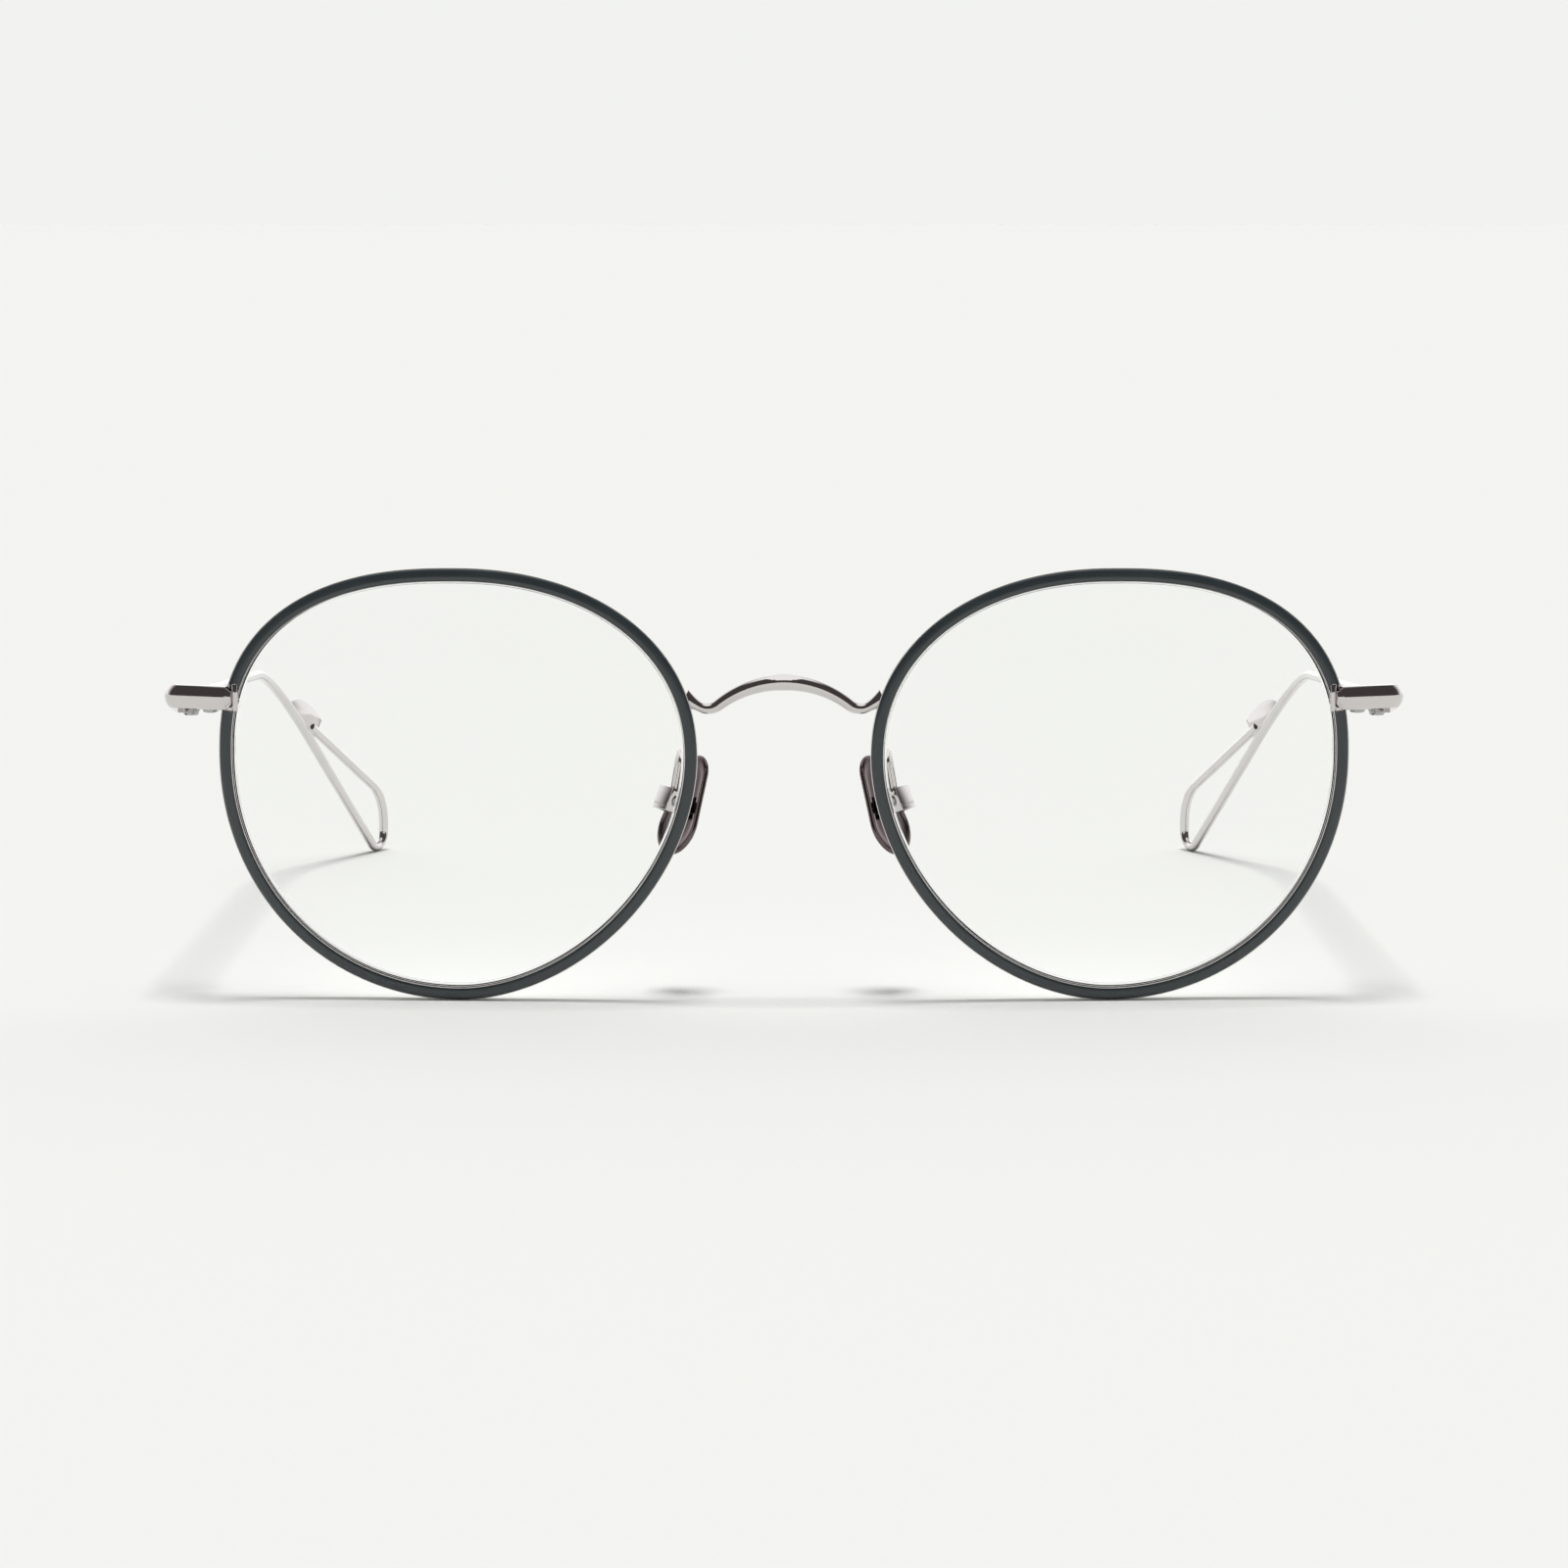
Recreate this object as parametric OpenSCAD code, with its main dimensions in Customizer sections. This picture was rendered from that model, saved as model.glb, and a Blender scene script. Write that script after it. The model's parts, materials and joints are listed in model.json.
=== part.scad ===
/* [Rims] */
// Half of a rim's outer width, measured at its widest line
rim_half_w = 26.05; // [22:0.05:30]
// Height of a rim above its widest line
rim_top_h = 20.65; // [16:0.05:24]
// Height of a rim below its widest line
rim_bottom_h = 26.85; // [22:0.05:34]
// Roundness of the outline at the top outer quarter (2 is an ellipse, more is squarer)
outer_top_power = 2.4; // [1.75:0.05:2.8]
// Roundness of the outline at the top quarter next to the nose
nose_top_power = 2.15; // [1.75:0.05:2.8]
// Roundness of the outline at the bottom quarter next to the nose
nose_bottom_power = 1.85; // [1.75:0.05:2.8]
// Roundness of the outline at the bottom outer quarter
outer_bottom_power = 2.05; // [1.75:0.05:2.8]
// Distance between the two lens centres
lens_spacing = 71; // [66:0.5:80]
// Radius of the sphere that the lenses and rims lie on
base_curve_r = 132; // [90:1:300]
// Outward turn of each rim about its own upright line
wrap_angle = 3; // [0:0.5:6]
// Forward lean of the top of the rims
front_lean = 3; // [0:0.5:6]

/* [Rim section] */
// Radial width of the eyewire
eyewire_w = 1.46; // [1.3:0.02:2]
// Depth of the eyewire from front to back
eyewire_d = 1.9; // [1.7:0.05:2.5]
// Width of the bare metal lip on each side of the dark inlay
lip_w = 0.1; // [0.08:0.01:0.25]
// Depth of the channel that holds the dark inlay
channel_d = 0.4; // [0.3:0.05:0.45]
// How far the inlay stands proud of the lips
inlay_crown = 0.16; // [0.08:0.02:0.3]
// Depth of the lens groove
groove_d = 0.38; // [0.3:0.02:0.5]

/* [Lenses] */
// Thickness of a lens
lens_t = 1.2; // [1:0.1:1.6]
// Thickness of the bevel round a lens
bevel_t = 0.3; // [0.2:0.05:0.4]
// Gap between a lens and the inner wall of its rim
lens_gap = 0.15; // [0.12:0.01:0.25]
// How far the bevel reaches into the groove
bevel_reach = 0.2; // [0.1:0.02:0.24]

/* [Bridge] */
// Height of the middle of the bridge above the widest line of the rims
bridge_z = 8.2; // [4:0.1:12]
// Radius of the bridge's arch
bridge_arch_r = 11.5; // [10:0.1:14]
// Steepness of the arch where it meets the dip beside each rim
bridge_slope = 38; // [30:1:44]
// Radius of the dip beside each rim
bridge_dip_r = 1.9; // [1.5:0.1:2.4]
// Height of the bridge bar at the middle
bridge_bar_h = 1.8; // [1.2:0.1:2.6]
// Height of the bridge bar at its feet
bridge_foot_h = 1.15; // [0.9:0.05:1.6]
// Depth of the bridge bar
bridge_bar_d = 1.5; // [1:0.1:1.8]

/* [End pieces] */
// Height of the end pieces and hinges above the widest line of the rims
endpiece_z = 6.3; // [2:0.1:8]
// Height of the end piece bar
endpiece_h = 2.5; // [2.2:0.1:3.2]
// Thickness of the end piece bar at its crown
endpiece_t = 1.3; // [1.1:0.05:1.6]
// Straight length of the end piece beyond the rim, before it turns back
endpiece_run = 4.6; // [4.6:0.1:6.6]
// Radius of the end piece's turn, at its inner face
endpiece_turn_r = 1.2; // [0.8:0.1:2]
// Length of the end piece behind its turn
endpiece_back = 5; // [4.8:0.1:8]

/* [Rim locks] */
// Length of a rim lock outward from the rim
lock_w = 3.2; // [2.8:0.1:3.6]
// Depth of a rim lock
lock_d = 2.3; // [2:0.1:2.6]
// Height of the lower half of a rim lock
lock_lower_h = 1.45; // [1.2:0.05:1.8]
// Height of the upper half of a rim lock, kept below the top of the end piece
lock_upper_h = 0.9; // [0.8:0.05:1.4]
// Slit between the two halves, closed by the lock screw
lock_slit = 0.1; // [0.06:0.02:0.2]
// Radius of the lock screw
lock_screw_r = 0.5; // [0.4:0.05:0.6]

/* [Hinges] */
// Height of the hinge barrel
hinge_h = 2.5; // [2.4:0.1:3.6]
// How far the hinge sits below the end piece's front run
hinge_drop = 1.4; // [0:0.1:1.6]
// Radius of the hinge knuckles
knuckle_r = 0.95; // [0.9:0.05:1.2]
// Radius of the hinge screw
hinge_screw_r = 0.5; // [0.45:0.01:0.55]
// Radial clearance of the temple knuckle on the hinge screw
hinge_clearance = 0.03; // [0.02:0.01:0.06]
// Gap between neighbouring knuckles
knuckle_gap = 0.05; // [0.03:0.01:0.1]
// Thickness of the hinge leaves
leaf_t = 0.6; // [0.5:0.05:0.7]
// Length of the hinge leaves
leaf_l = 4.2; // [3.6:0.1:4.6]

/* [Temples] */
// Radius of the temple wire
temple_wire_r = 0.6; // [0.5:0.05:0.75]
// Length of the temple from the hinge to the corner of its bend
temple_straight = 95.7; // [85:0.1:110]
// Downward slope of the temples, going back
temple_drop = 3.6; // [2:0.05:5]
// Inward slope of the temples, going back
temple_toe_in = 0.8; // [0:0.1:2]
// Radius of the bend behind the ear
bend_r = 34; // [20:1:40]
// Downward slope of the tip behind the bend
tip_drop = 44; // [36:1:50]
// Inward slope of the tip behind the bend
tip_inward = 25; // [15:1:30]
// Radius of the turn at the bottom of the tip loop
tip_turn_r = 1.95; // [1.6:0.05:2.6]
// Radius of the shoulder where the loop turns back up
tip_shoulder_r = 6; // [4:0.5:7]
// Height of the corner of that shoulder above the bottom of the loop
tip_shoulder_h = 6.6; // [6:0.1:9]
// Slope of the returning leg of the loop
tip_return = 30; // [26:1:34]
// Length of the returning leg
tip_return_l = 22; // [16:0.5:24]
// Length of the butt at the front of a temple
butt_l = 4.2; // [3:0.1:8]
// Length of the ferrule that holds the temple wire
ferrule_l = 3; // [2:0.1:5]

/* [Loop plates] */
// Length of the plate that closes a loop
plate_l = 7.6; // [6:0.1:9]
// Height of the plate above the wire's middle
plate_h = 3.4; // [2.8:0.1:4]
// Thickness of the plate
plate_t = 0.8; // [0.6:0.05:1]

/* [Nose pads] */
// Distance of the pad screws from the middle of the frame
pad_x = 12.5; // [11:0.1:15]
// Distance of the pad screws behind the front of the rims
pad_y = 8.4; // [7:0.1:11]
// Depth of the pad screws below the widest line of the rims
pad_below = 5.7; // [5:0.1:10]
// Sideways lean of the pads
pad_lean = 23; // [15:1:30]
// Opening of the pads toward the back
pad_splay = 36; // [20:1:45]
// Length of a pad
pad_l = 11.5; // [11:0.5:16]
// Width of a pad at its broad lower end
pad_w = 6.6; // [6:0.1:8]
// Thickness of a pad
pad_t = 1.7; // [1.4:0.1:2.4]
// Radius of the pad arm wire
pad_arm_r = 0.45; // [0.4:0.05:0.55]
// Radius of the pad screw
pad_screw_r = 0.35; // [0.3:0.05:0.4]

/* [Hidden] */
stations = 96;
sphere_fn = 360;
round_fn = 96;
bend_step = 5;
eps = 0.01;

// ---------- vector helpers ----------

function unit(v) = v / norm(v);
function turn_x(p, a) = [p.x, p.y * cos(a) - p.z * sin(a), p.y * sin(a) + p.z * cos(a)];
function turn_z(p, a) = [p.x * cos(a) - p.y * sin(a), p.x * sin(a) + p.y * cos(a), p.z];
function heading(inward, down) = [-sin(inward) * cos(down), cos(inward) * cos(down), -sin(down)];

// ---------- rim outline ----------
// In a rim's own frame x points outward to the temple, y to the back and z up, with the
// origin on the widest line. The outline is four superellipse quarters.

function outline_h(s) = s >= 0 ? rim_top_h : rim_bottom_h;
function outline_power(c, s) =
    s >= 0 ? (c >= 0 ? outer_top_power : nose_top_power)
           : (c >= 0 ? outer_bottom_power : nose_bottom_power);
function outline_point(a) =
    let (c = cos(a), s = sin(a), n = outline_power(c, s))
    [rim_half_w * sign(c) * pow(abs(c), 2 / n), outline_h(s) * sign(s) * pow(abs(s), 2 / n)];
function outline_normal(a) =
    let (c = cos(a), s = sin(a), n = outline_power(c, s), p = outline_point(a))
    unit([sign(c) * pow(abs(p.x) / rim_half_w, n - 1) / rim_half_w,
          sign(s) * pow(abs(p.y) / outline_h(s), n - 1) / outline_h(s)]);
function inset_point(a, inset) = outline_point(a) - inset * outline_normal(a);

// A point of the outline plane, laid on the base curve and pushed back along its radius
rim_mid_z = (rim_top_h - rim_bottom_h) / 2;
function on_curve(q, depth) =
    let (v = [q.x, q.y - rim_mid_z], k = 1 - depth / base_curve_r)
    [k * v.x, base_curve_r - k * sqrt(base_curve_r ^ 2 - v * v), k * v.y + rim_mid_z];
function rim_point(a, inset, depth) = on_curve(inset_point(a, inset), depth);

function all_angles() = [for (i = [0 : stations - 1]) 360 * i / stations];

// ---------- placing the front in the part ----------

function in_rim(p) = turn_z(p, wrap_angle) + [lens_spacing / 2, 0, 0];
front_edge = [for (a = all_angles()) turn_x(in_rim(rim_point(a, 0, 0)), front_lean)];
lift = -min([for (p = front_edge) p.z]);

// The end piece starts where the outline crosses the hinge height on the temple side
edge_angle = asin(pow(endpiece_z / rim_top_h, outer_top_power / 2));
edge_turn = wrap_angle + asin(outline_point(edge_angle).x / base_curve_r);
// The rim's face leans with the base curve, so what lies across it starts just clear of it
edge_seat = (endpiece_z - rim_mid_z) / base_curve_r * endpiece_h / 2;
edge_point = in_rim(rim_point(edge_angle, 0, 0)) - [0, edge_seat, 0];

endpiece_inner_y = edge_point.y + endpiece_run * sin(edge_turn)
    + endpiece_turn_r * cos(edge_turn);
endpiece_inner_x = edge_point.x + endpiece_run * cos(edge_turn)
    + endpiece_turn_r * (1 - sin(edge_turn));
pin_in_front = [endpiece_inner_x - knuckle_r - knuckle_gap, endpiece_inner_y + endpiece_back,
    endpiece_z - hinge_drop];

// ---------- temple route, from the hinge pin ----------

wire_x = knuckle_r + knuckle_gap + endpiece_t / 2;
pin_z = turn_x(pin_in_front, front_lean).z + lift;
along_temple = heading(temple_toe_in, temple_drop);
along_tip = heading(tip_inward, tip_drop);
tip_back = heading(tip_inward, 0);
bend_corner = [wire_x, 0, 0] + temple_straight * along_temple;
turn_tangent = tip_turn_r * tan((90 + tip_drop) / 2);
turn_corner_z = temple_wire_r + tip_turn_r - turn_tangent - pin_z;
turn_corner = bend_corner + (bend_corner.z - turn_corner_z) / sin(tip_drop) * along_tip;
shoulder_corner = [turn_corner.x, turn_corner.y, temple_wire_r + tip_shoulder_h - pin_z];
loop_end = shoulder_corner + tip_return_l * (-cos(tip_return) * tip_back + [0, 0, sin(tip_return)]);

pin_y = turn_x(pin_in_front, front_lean).y;
depth_front = min([for (p = front_edge) p.y]) - inlay_crown;
depth_back = pin_y + turn_corner.y + temple_wire_r;
shift = [0, -(depth_front + depth_back) / 2, lift];

// ---------- shared shapes ----------

// Closed or open skin through rings of points that all have the same count
module loft(rings, closed = false) {
    m = len(rings[0]);
    n = len(rings);
    sides = [for (i = [0 : n - (closed ? 1 : 2)], j = [0 : m - 1])
        let (a = i * m + j, b = i * m + (j + 1) % m, i2 = (i + 1) % n,
             c = i2 * m + (j + 1) % m, d = i2 * m + j)
        each [[a, c, b], [a, d, c]]];
    caps = closed ? [] : [[for (j = [0 : m - 1]) j], [for (j = [m - 1 : -1 : 0]) (n - 1) * m + j]];
    polyhedron(points = [for (r = rings) each r], faces = concat(sides, caps), convexity = 8);
}

module rod(from, to, r) {
    axis = to - from;
    translate(from)
        rotate([0, acos(axis.z / norm(axis)), atan2(axis.y, axis.x)])
            cylinder(r = r, h = norm(axis), $fn = round_fn);
}

// Route of a wire along straight runs between corners, with a round bend at each inner
// corner: a list of [place, direction]
function wire_route(corners, bends) =
    let (n = len(corners),
         runs = [for (i = [0 : n - 2]) unit(corners[i + 1] - corners[i])])
    concat(
        [[corners[0], runs[0]]],
        [for (i = [1 : n - 2])
            let (angle = acos(runs[i - 1] * runs[i]), bend = bends[i - 1],
                 start = corners[i] - bend * tan(angle / 2) * runs[i - 1],
                 inward = unit(runs[i] - cos(angle) * runs[i - 1]),
                 steps = ceil(angle / bend_step))
            each [for (k = [0 : steps]) let (a = angle * k / steps)
                [start + bend * (sin(a) * runs[i - 1] + (1 - cos(a)) * inward),
                 cos(a) * runs[i - 1] + sin(a) * inward]]],
        [[corners[n - 1], runs[n - 2]]]
    );

// Wire of radius r along a route that never runs along the vector across
module bent_wire(corners, bends, r, sides, across) {
    loft([for (stop = wire_route(corners, bends))
        let (u = unit(cross(across, stop[1])), v = cross(stop[1], u))
        [for (i = [0 : sides - 1]) let (a = 360 * i / sides)
            stop[0] + r * (cos(a) * u + sin(a) * v)]]);
}

// ---------- frames of reference ----------

module side(name) {
    mirror([name == "left" ? 0 : 1, 0, 0])
        children();
}

module in_front() {
    translate(shift)
        rotate([front_lean, 0, 0])
            children();
}

module at_rim() {
    in_front()
        translate([lens_spacing / 2, 0, 0])
            rotate([0, 0, wrap_angle])
                children();
}

// Origin on the rim's front outer edge at hinge height, x outward along the rim's face
module at_edge() {
    in_front()
        translate(edge_point)
            rotate([0, 0, edge_turn])
                children();
}

// Origin at the middle of the hinge pin, y back along the temple
module at_pin() {
    in_front()
        translate(pin_in_front)
            rotate([-front_lean - temple_drop, 0, 0])
                children();
}

// Origin at the middle of the hinge pin, level with the ground
module at_pin_level() {
    in_front()
        translate(pin_in_front)
            rotate([-front_lean, 0, 0])
                children();
}

// Origin on the pad screw, x away from the nose, y along the screw, z along the pad
module at_pad() {
    in_front()
        translate([pad_x, pad_y, -pad_below])
            rotate([0, -pad_lean, -pad_splay])
                children();
}

// ---------- rims and lenses ----------

wall_cut = 0.3;
groove_mid = eyewire_d / 2;
groove_floor = 0.34;
groove_mouth = groove_floor + 0.56;
eyewire_section = [
    [0, 0], [0, eyewire_d - wall_cut], [wall_cut, eyewire_d],
    [eyewire_w - wall_cut, eyewire_d], [eyewire_w, eyewire_d - wall_cut],
    [eyewire_w, groove_mid + groove_mouth / 2], [eyewire_w - groove_d, groove_mid + groove_floor / 2],
    [eyewire_w - groove_d, groove_mid - groove_floor / 2], [eyewire_w, groove_mid - groove_mouth / 2],
    [eyewire_w, 0], [eyewire_w - lip_w, 0], [eyewire_w - lip_w, channel_d],
    [lip_w, channel_d], [lip_w, 0],
];
inlay_shoulder = 0.2;
inlay_section = [
    [lip_w, 0], [lip_w, channel_d], [eyewire_w - lip_w, channel_d], [eyewire_w - lip_w, 0],
    [eyewire_w - lip_w - inlay_shoulder, -0.7 * inlay_crown], [eyewire_w / 2, -inlay_crown],
    [lip_w + inlay_shoulder, -0.7 * inlay_crown],
];
envelope_spare = 1;
function envelope_section(spare) = [
    [0, -spare], [0, eyewire_d + spare], [eyewire_w, eyewire_d + spare], [eyewire_w, -spare],
];

function section_ring(a, section) = [for (p = section) rim_point(a, p.x, p.y)];

module rim_sweep(section) {
    loft([for (a = all_angles()) section_ring(a, section)], closed = true);
}

// The space between the eyewire's walls over an arc in degrees, with spare depth front and back
module rim_envelope(first, last, spare) {
    step = 360 / stations;
    loft([for (i = [floor(first / step) : ceil(last / step)])
        section_ring(i * step, envelope_section(spare))]);
}

module edge_cut(height) {
    translate([-2 * eyewire_w, -eyewire_d, -height / 2])
        cube([3 * eyewire_w, 3 * eyewire_d, height]);
}

module eyewire(name) {
    color("silver")
        side(name)
            difference() {
                at_rim() rim_sweep(eyewire_section);
                at_edge() edge_cut(lock_slit);
            }
}

inlay_gap_h = endpiece_h + 0.4;
module rim_inlay(name) {
    color("darkslategray")
        side(name)
            difference() {
                at_rim() rim_sweep(inlay_section);
                at_edge() edge_cut(inlay_gap_h);
            }
}

// Part of the lens shell between two depths, cut by the outline at an inset
module lens_layer(front, back, inset) {
    outline = [for (a = all_angles()) let (p = rim_point(a, inset, (front + back) / 2)) [p.x, p.z]];
    difference() {
        intersection() {
            translate([0, base_curve_r, rim_mid_z])
                sphere(r = base_curve_r - front, $fn = sphere_fn);
            translate([0, base_curve_r / 2, 0])
                rotate([90, 0, 0])
                    linear_extrude(height = base_curve_r)
                        polygon(outline);
        }
        translate([0, base_curve_r, rim_mid_z])
            sphere(r = base_curve_r - back, $fn = sphere_fn);
    }
}

module lens(name) {
    color("lightcyan", 0.4)
        side(name)
            at_rim() {
                lens_layer(groove_mid - lens_t / 2, groove_mid + lens_t / 2, eyewire_w + lens_gap);
                lens_layer(groove_mid - bevel_t / 2, groove_mid + bevel_t / 2, eyewire_w - bevel_reach);
            }
}

// ---------- bridge ----------

bridge_steps = 12;
bridge_arc = [142, 183];
bridge_sides = 14;
foot_angle = 28;
foot_l = 1.9;
foot_flare = 1.1;
bridge_y = in_rim(rim_point(180, 0, eyewire_d / 2)).y;
dip_start = bridge_arch_r * [sin(bridge_slope), cos(bridge_slope) - 1];
function bar_h_at(share) = bridge_bar_h + (bridge_foot_h - bridge_bar_h) * share;
function dip_point(a) = dip_start
    + bridge_dip_r * [sin(a) + sin(bridge_slope), cos(bridge_slope) - cos(a)];
// Half of the bridge from its middle: [across, up, slope, height of the bar]
half_bridge = concat(
    [for (i = [0 : bridge_steps]) let (a = bridge_slope * i / bridge_steps)
        [bridge_arch_r * sin(a), bridge_arch_r * (cos(a) - 1), -a, bar_h_at(0.7 * i / bridge_steps)]],
    [for (i = [1 : bridge_steps]) let (a = -bridge_slope + (bridge_slope + foot_angle) * i / bridge_steps)
        [dip_point(a).x, dip_point(a).y, a, bar_h_at(0.7 + 0.3 * i / bridge_steps)]],
    [let (p = dip_point(foot_angle))
        [p.x + foot_l * cos(foot_angle), p.y + foot_l * sin(foot_angle), foot_angle,
            bridge_foot_h + foot_flare]]
);
function bridge_ring(p, hand) =
    [for (i = [0 : bridge_sides - 1]) let (a = 360 * i / bridge_sides,
            up = p[3] / 2 * sin(a), back = bridge_bar_d / 2 * cos(a))
        [hand * (p.x - up * sin(p.z)), bridge_y + back, bridge_z + p.y + up * cos(p.z)]];

module bridge() {
    color("silver")
        difference() {
            in_front()
                loft(concat(
                    [for (i = [len(half_bridge) - 1 : -1 : 1]) bridge_ring(half_bridge[i], -1)],
                    [for (i = [0 : len(half_bridge) - 1]) bridge_ring(half_bridge[i], 1)]));
            for (name = ["left", "right"])
                side(name)
                    at_rim() rim_envelope(bridge_arc[0], bridge_arc[1], envelope_spare);
        }
}

// ---------- end pieces and rim locks ----------

crown_drop = 0.5;
crown_r = (endpiece_h ^ 2 / 4 + crown_drop ^ 2) / (2 * crown_drop);
// Bar section with a flat inner face at x = 0 and a crowned outer face at x = endpiece_t
module bar_section() {
    intersection() {
        translate([0, -endpiece_h / 2])
            square([endpiece_t, endpiece_h]);
        translate([endpiece_t - crown_r, 0])
            circle(r = crown_r, $fn = 4 * round_fn);
    }
}

module bar(length) {
    rotate([90, 0, 90])
        linear_extrude(height = length)
            mirror([1, 0])
                bar_section();
}

// The bar's section as [outward, up], from its flat inner face round over the crown
crown_half_angle = asin(endpiece_h / 2 / crown_r);
bar_ring = concat(
    [[0, -endpiece_h / 2], [0, endpiece_h / 2]],
    [for (a = [crown_half_angle : -crown_half_angle / 4 : -crown_half_angle - eps])
        [endpiece_t - crown_r + crown_r * cos(a), crown_r * sin(a)]]
);
endpiece_bevel = 0.5;
endpiece_start = -eyewire_w + lip_w;
endpiece_corner = edge_point
    + (endpiece_run + endpiece_turn_r * tan((90 - edge_turn) / 2)) * heading(edge_turn - 90, 0);
endpiece_rear = [endpiece_inner_x, pin_in_front.y, pin_in_front.z];
endpiece_stops = wire_route(
    [edge_point + endpiece_start * heading(edge_turn - 90, 0),
     endpiece_corner,
     endpiece_rear + endpiece_h / 4 * unit(endpiece_rear - endpiece_corner)],
    [endpiece_turn_r]);

function bar_ring_at(stop, share) =
    let (out = unit(cross(stop[1], [0, 0, 1])))
    [for (p = bar_ring) stop[0] + share * p.x * out + [0, 0, share * p.y]];

// Its rear end is cut square to the temple, which it meets when the temple is open
module endpiece(name) {
    first = endpiece_stops[0];
    color("silver")
        side(name)
            difference() {
                in_front()
                    loft(concat(
                        [bar_ring_at(first, 1 - endpiece_bevel),
                         bar_ring_at([first[0] + endpiece_bevel * first[1], first[1]], 1)],
                        [for (i = [1 : len(endpiece_stops) - 1]) bar_ring_at(endpiece_stops[i], 1)]));
                at_pin()
                    translate([0, -knuckle_gap / 2, -endpiece_h])
                        cube([2 * wire_x, endpiece_h, 2 * endpiece_h]);
            }
}

lock_arc = 45;
lock_screw_x = lock_w - 1.2;
lock_screw_y = lock_d / 2 + 0.1;
head_r = 0.85;
head_h = 0.45;

module lock_block(name, low, high) {
    color("silver")
        side(name)
            difference() {
                at_edge()
                    translate([-eyewire_w / 2, 0, low])
                        cube([eyewire_w / 2 + lock_w, lock_d, high - low]);
                at_rim() rim_envelope(0, lock_arc, envelope_spare);
                at_edge()
                    translate([lock_screw_x, lock_screw_y, -endpiece_h])
                        cylinder(r = lock_screw_r, h = 2 * endpiece_h, $fn = round_fn);
            }
}

module lock_upper(name) {
    lock_block(name, lock_slit / 2, lock_upper_h);
}

module lock_lower(name) {
    lock_block(name, -lock_lower_h, -lock_slit / 2);
}

screw_slot_w = 0.25;
module slotted_screw(shank_r, shank_l, r, h) {
    cylinder(r = shank_r, h = shank_l, $fn = round_fn);
    difference() {
        translate([0, 0, -h])
            cylinder(r = r, h = h, $fn = round_fn);
        translate([-r, -screw_slot_w / 2, -h])
            cube([2 * r, screw_slot_w, h / 2]);
    }
}

module lock_screw(name) {
    color("dimgray")
        side(name)
            at_edge()
                translate([lock_screw_x, lock_screw_y, -lock_lower_h])
                    slotted_screw(lock_screw_r, lock_lower_h + lock_upper_h, head_r, head_h);
}

// ---------- hinges ----------

knuckle_h = (hinge_h - 2 * knuckle_gap) / 3;
barrel_clear = knuckle_r + knuckle_gap;

module knuckle(low, bore_r) {
    translate([0, 0, low])
        difference() {
            cylinder(r = knuckle_r, h = knuckle_h, $fn = round_fn);
            translate([0, 0, -eps])
                cylinder(r = bore_r, h = knuckle_h + 2 * eps, $fn = round_fn);
        }
}

// Leaf that lies flat on the inner face beside the pin, on its front (-1) or rear (1) side
module leaf(way, height) {
    length = leaf_l - barrel_clear;
    translate([barrel_clear - leaf_t, way > 0 ? barrel_clear : -leaf_l, -height / 2])
        cube([leaf_t, length, height]);
}

// Short web from a leaf into its knuckle
module web(way, low) {
    translate([0, 0, low])
        difference() {
            translate([barrel_clear - leaf_t, way > 0 ? 0 : -barrel_clear, 0])
                cube([leaf_t - knuckle_gap, barrel_clear, knuckle_h]);
            cylinder(r = (knuckle_r + hinge_screw_r) / 2, h = 3 * knuckle_h, center = true, $fn = round_fn);
        }
}

module front_hinge(name) {
    color("silver")
        side(name)
            at_pin() {
                leaf(-1, hinge_h);
                for (low = [-hinge_h / 2, hinge_h / 2 - knuckle_h]) {
                    knuckle(low, hinge_screw_r);
                    web(-1, low);
                }
            }
}

module temple_hinge(name) {
    color("silver")
        side(name)
            at_pin() {
                leaf(1, hinge_h);
                knuckle(-knuckle_h / 2, hinge_screw_r + hinge_clearance);
                web(1, -knuckle_h / 2);
            }
}

module hinge_screw(name) {
    color("dimgray")
        side(name)
            at_pin()
                translate([0, 0, -hinge_h / 2])
                    slotted_screw(hinge_screw_r, hinge_h, head_r, head_h);
}

// ---------- temples ----------

ferrule_r = temple_wire_r + 0.3;
wire_start = [wire_x, 0, 0] + (butt_l + 0.2) * along_temple;
wire_sides = 16;

module temple_butt(name) {
    color("silver")
        side(name)
            difference() {
                at_pin() {
                    translate([barrel_clear, knuckle_gap / 2, 0])
                        rotate([0, 0, 90])
                            bar(butt_l - knuckle_gap / 2);
                    translate([wire_x, butt_l, 0])
                        rotate([-90, 0, 0])
                            cylinder(r = ferrule_r, h = ferrule_l, $fn = round_fn);
                }
                at_pin_level() rod(wire_start, bend_corner, temple_wire_r);
            }
}

module tip_wire() {
    bent_wire([wire_start, bend_corner, turn_corner, shoulder_corner, loop_end],
        [bend_r, tip_turn_r, tip_shoulder_r], temple_wire_r, wire_sides, cross(tip_back, [0, 0, 1]));
}

module temple_wire(name) {
    color("gainsboro")
        side(name)
            at_pin_level() tip_wire();
}

// The plate lies in the loop's upright plane: its straight edge on the falling leg and its
// lower end on the end of the returning leg
plate_seat = 0.95 * norm(turn_corner - loop_end);
plate_low = turn_corner - plate_seat * along_tip;
plate_up = cross(cross(along_tip, tip_back), along_tip);
plate_steps = 24;

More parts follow.
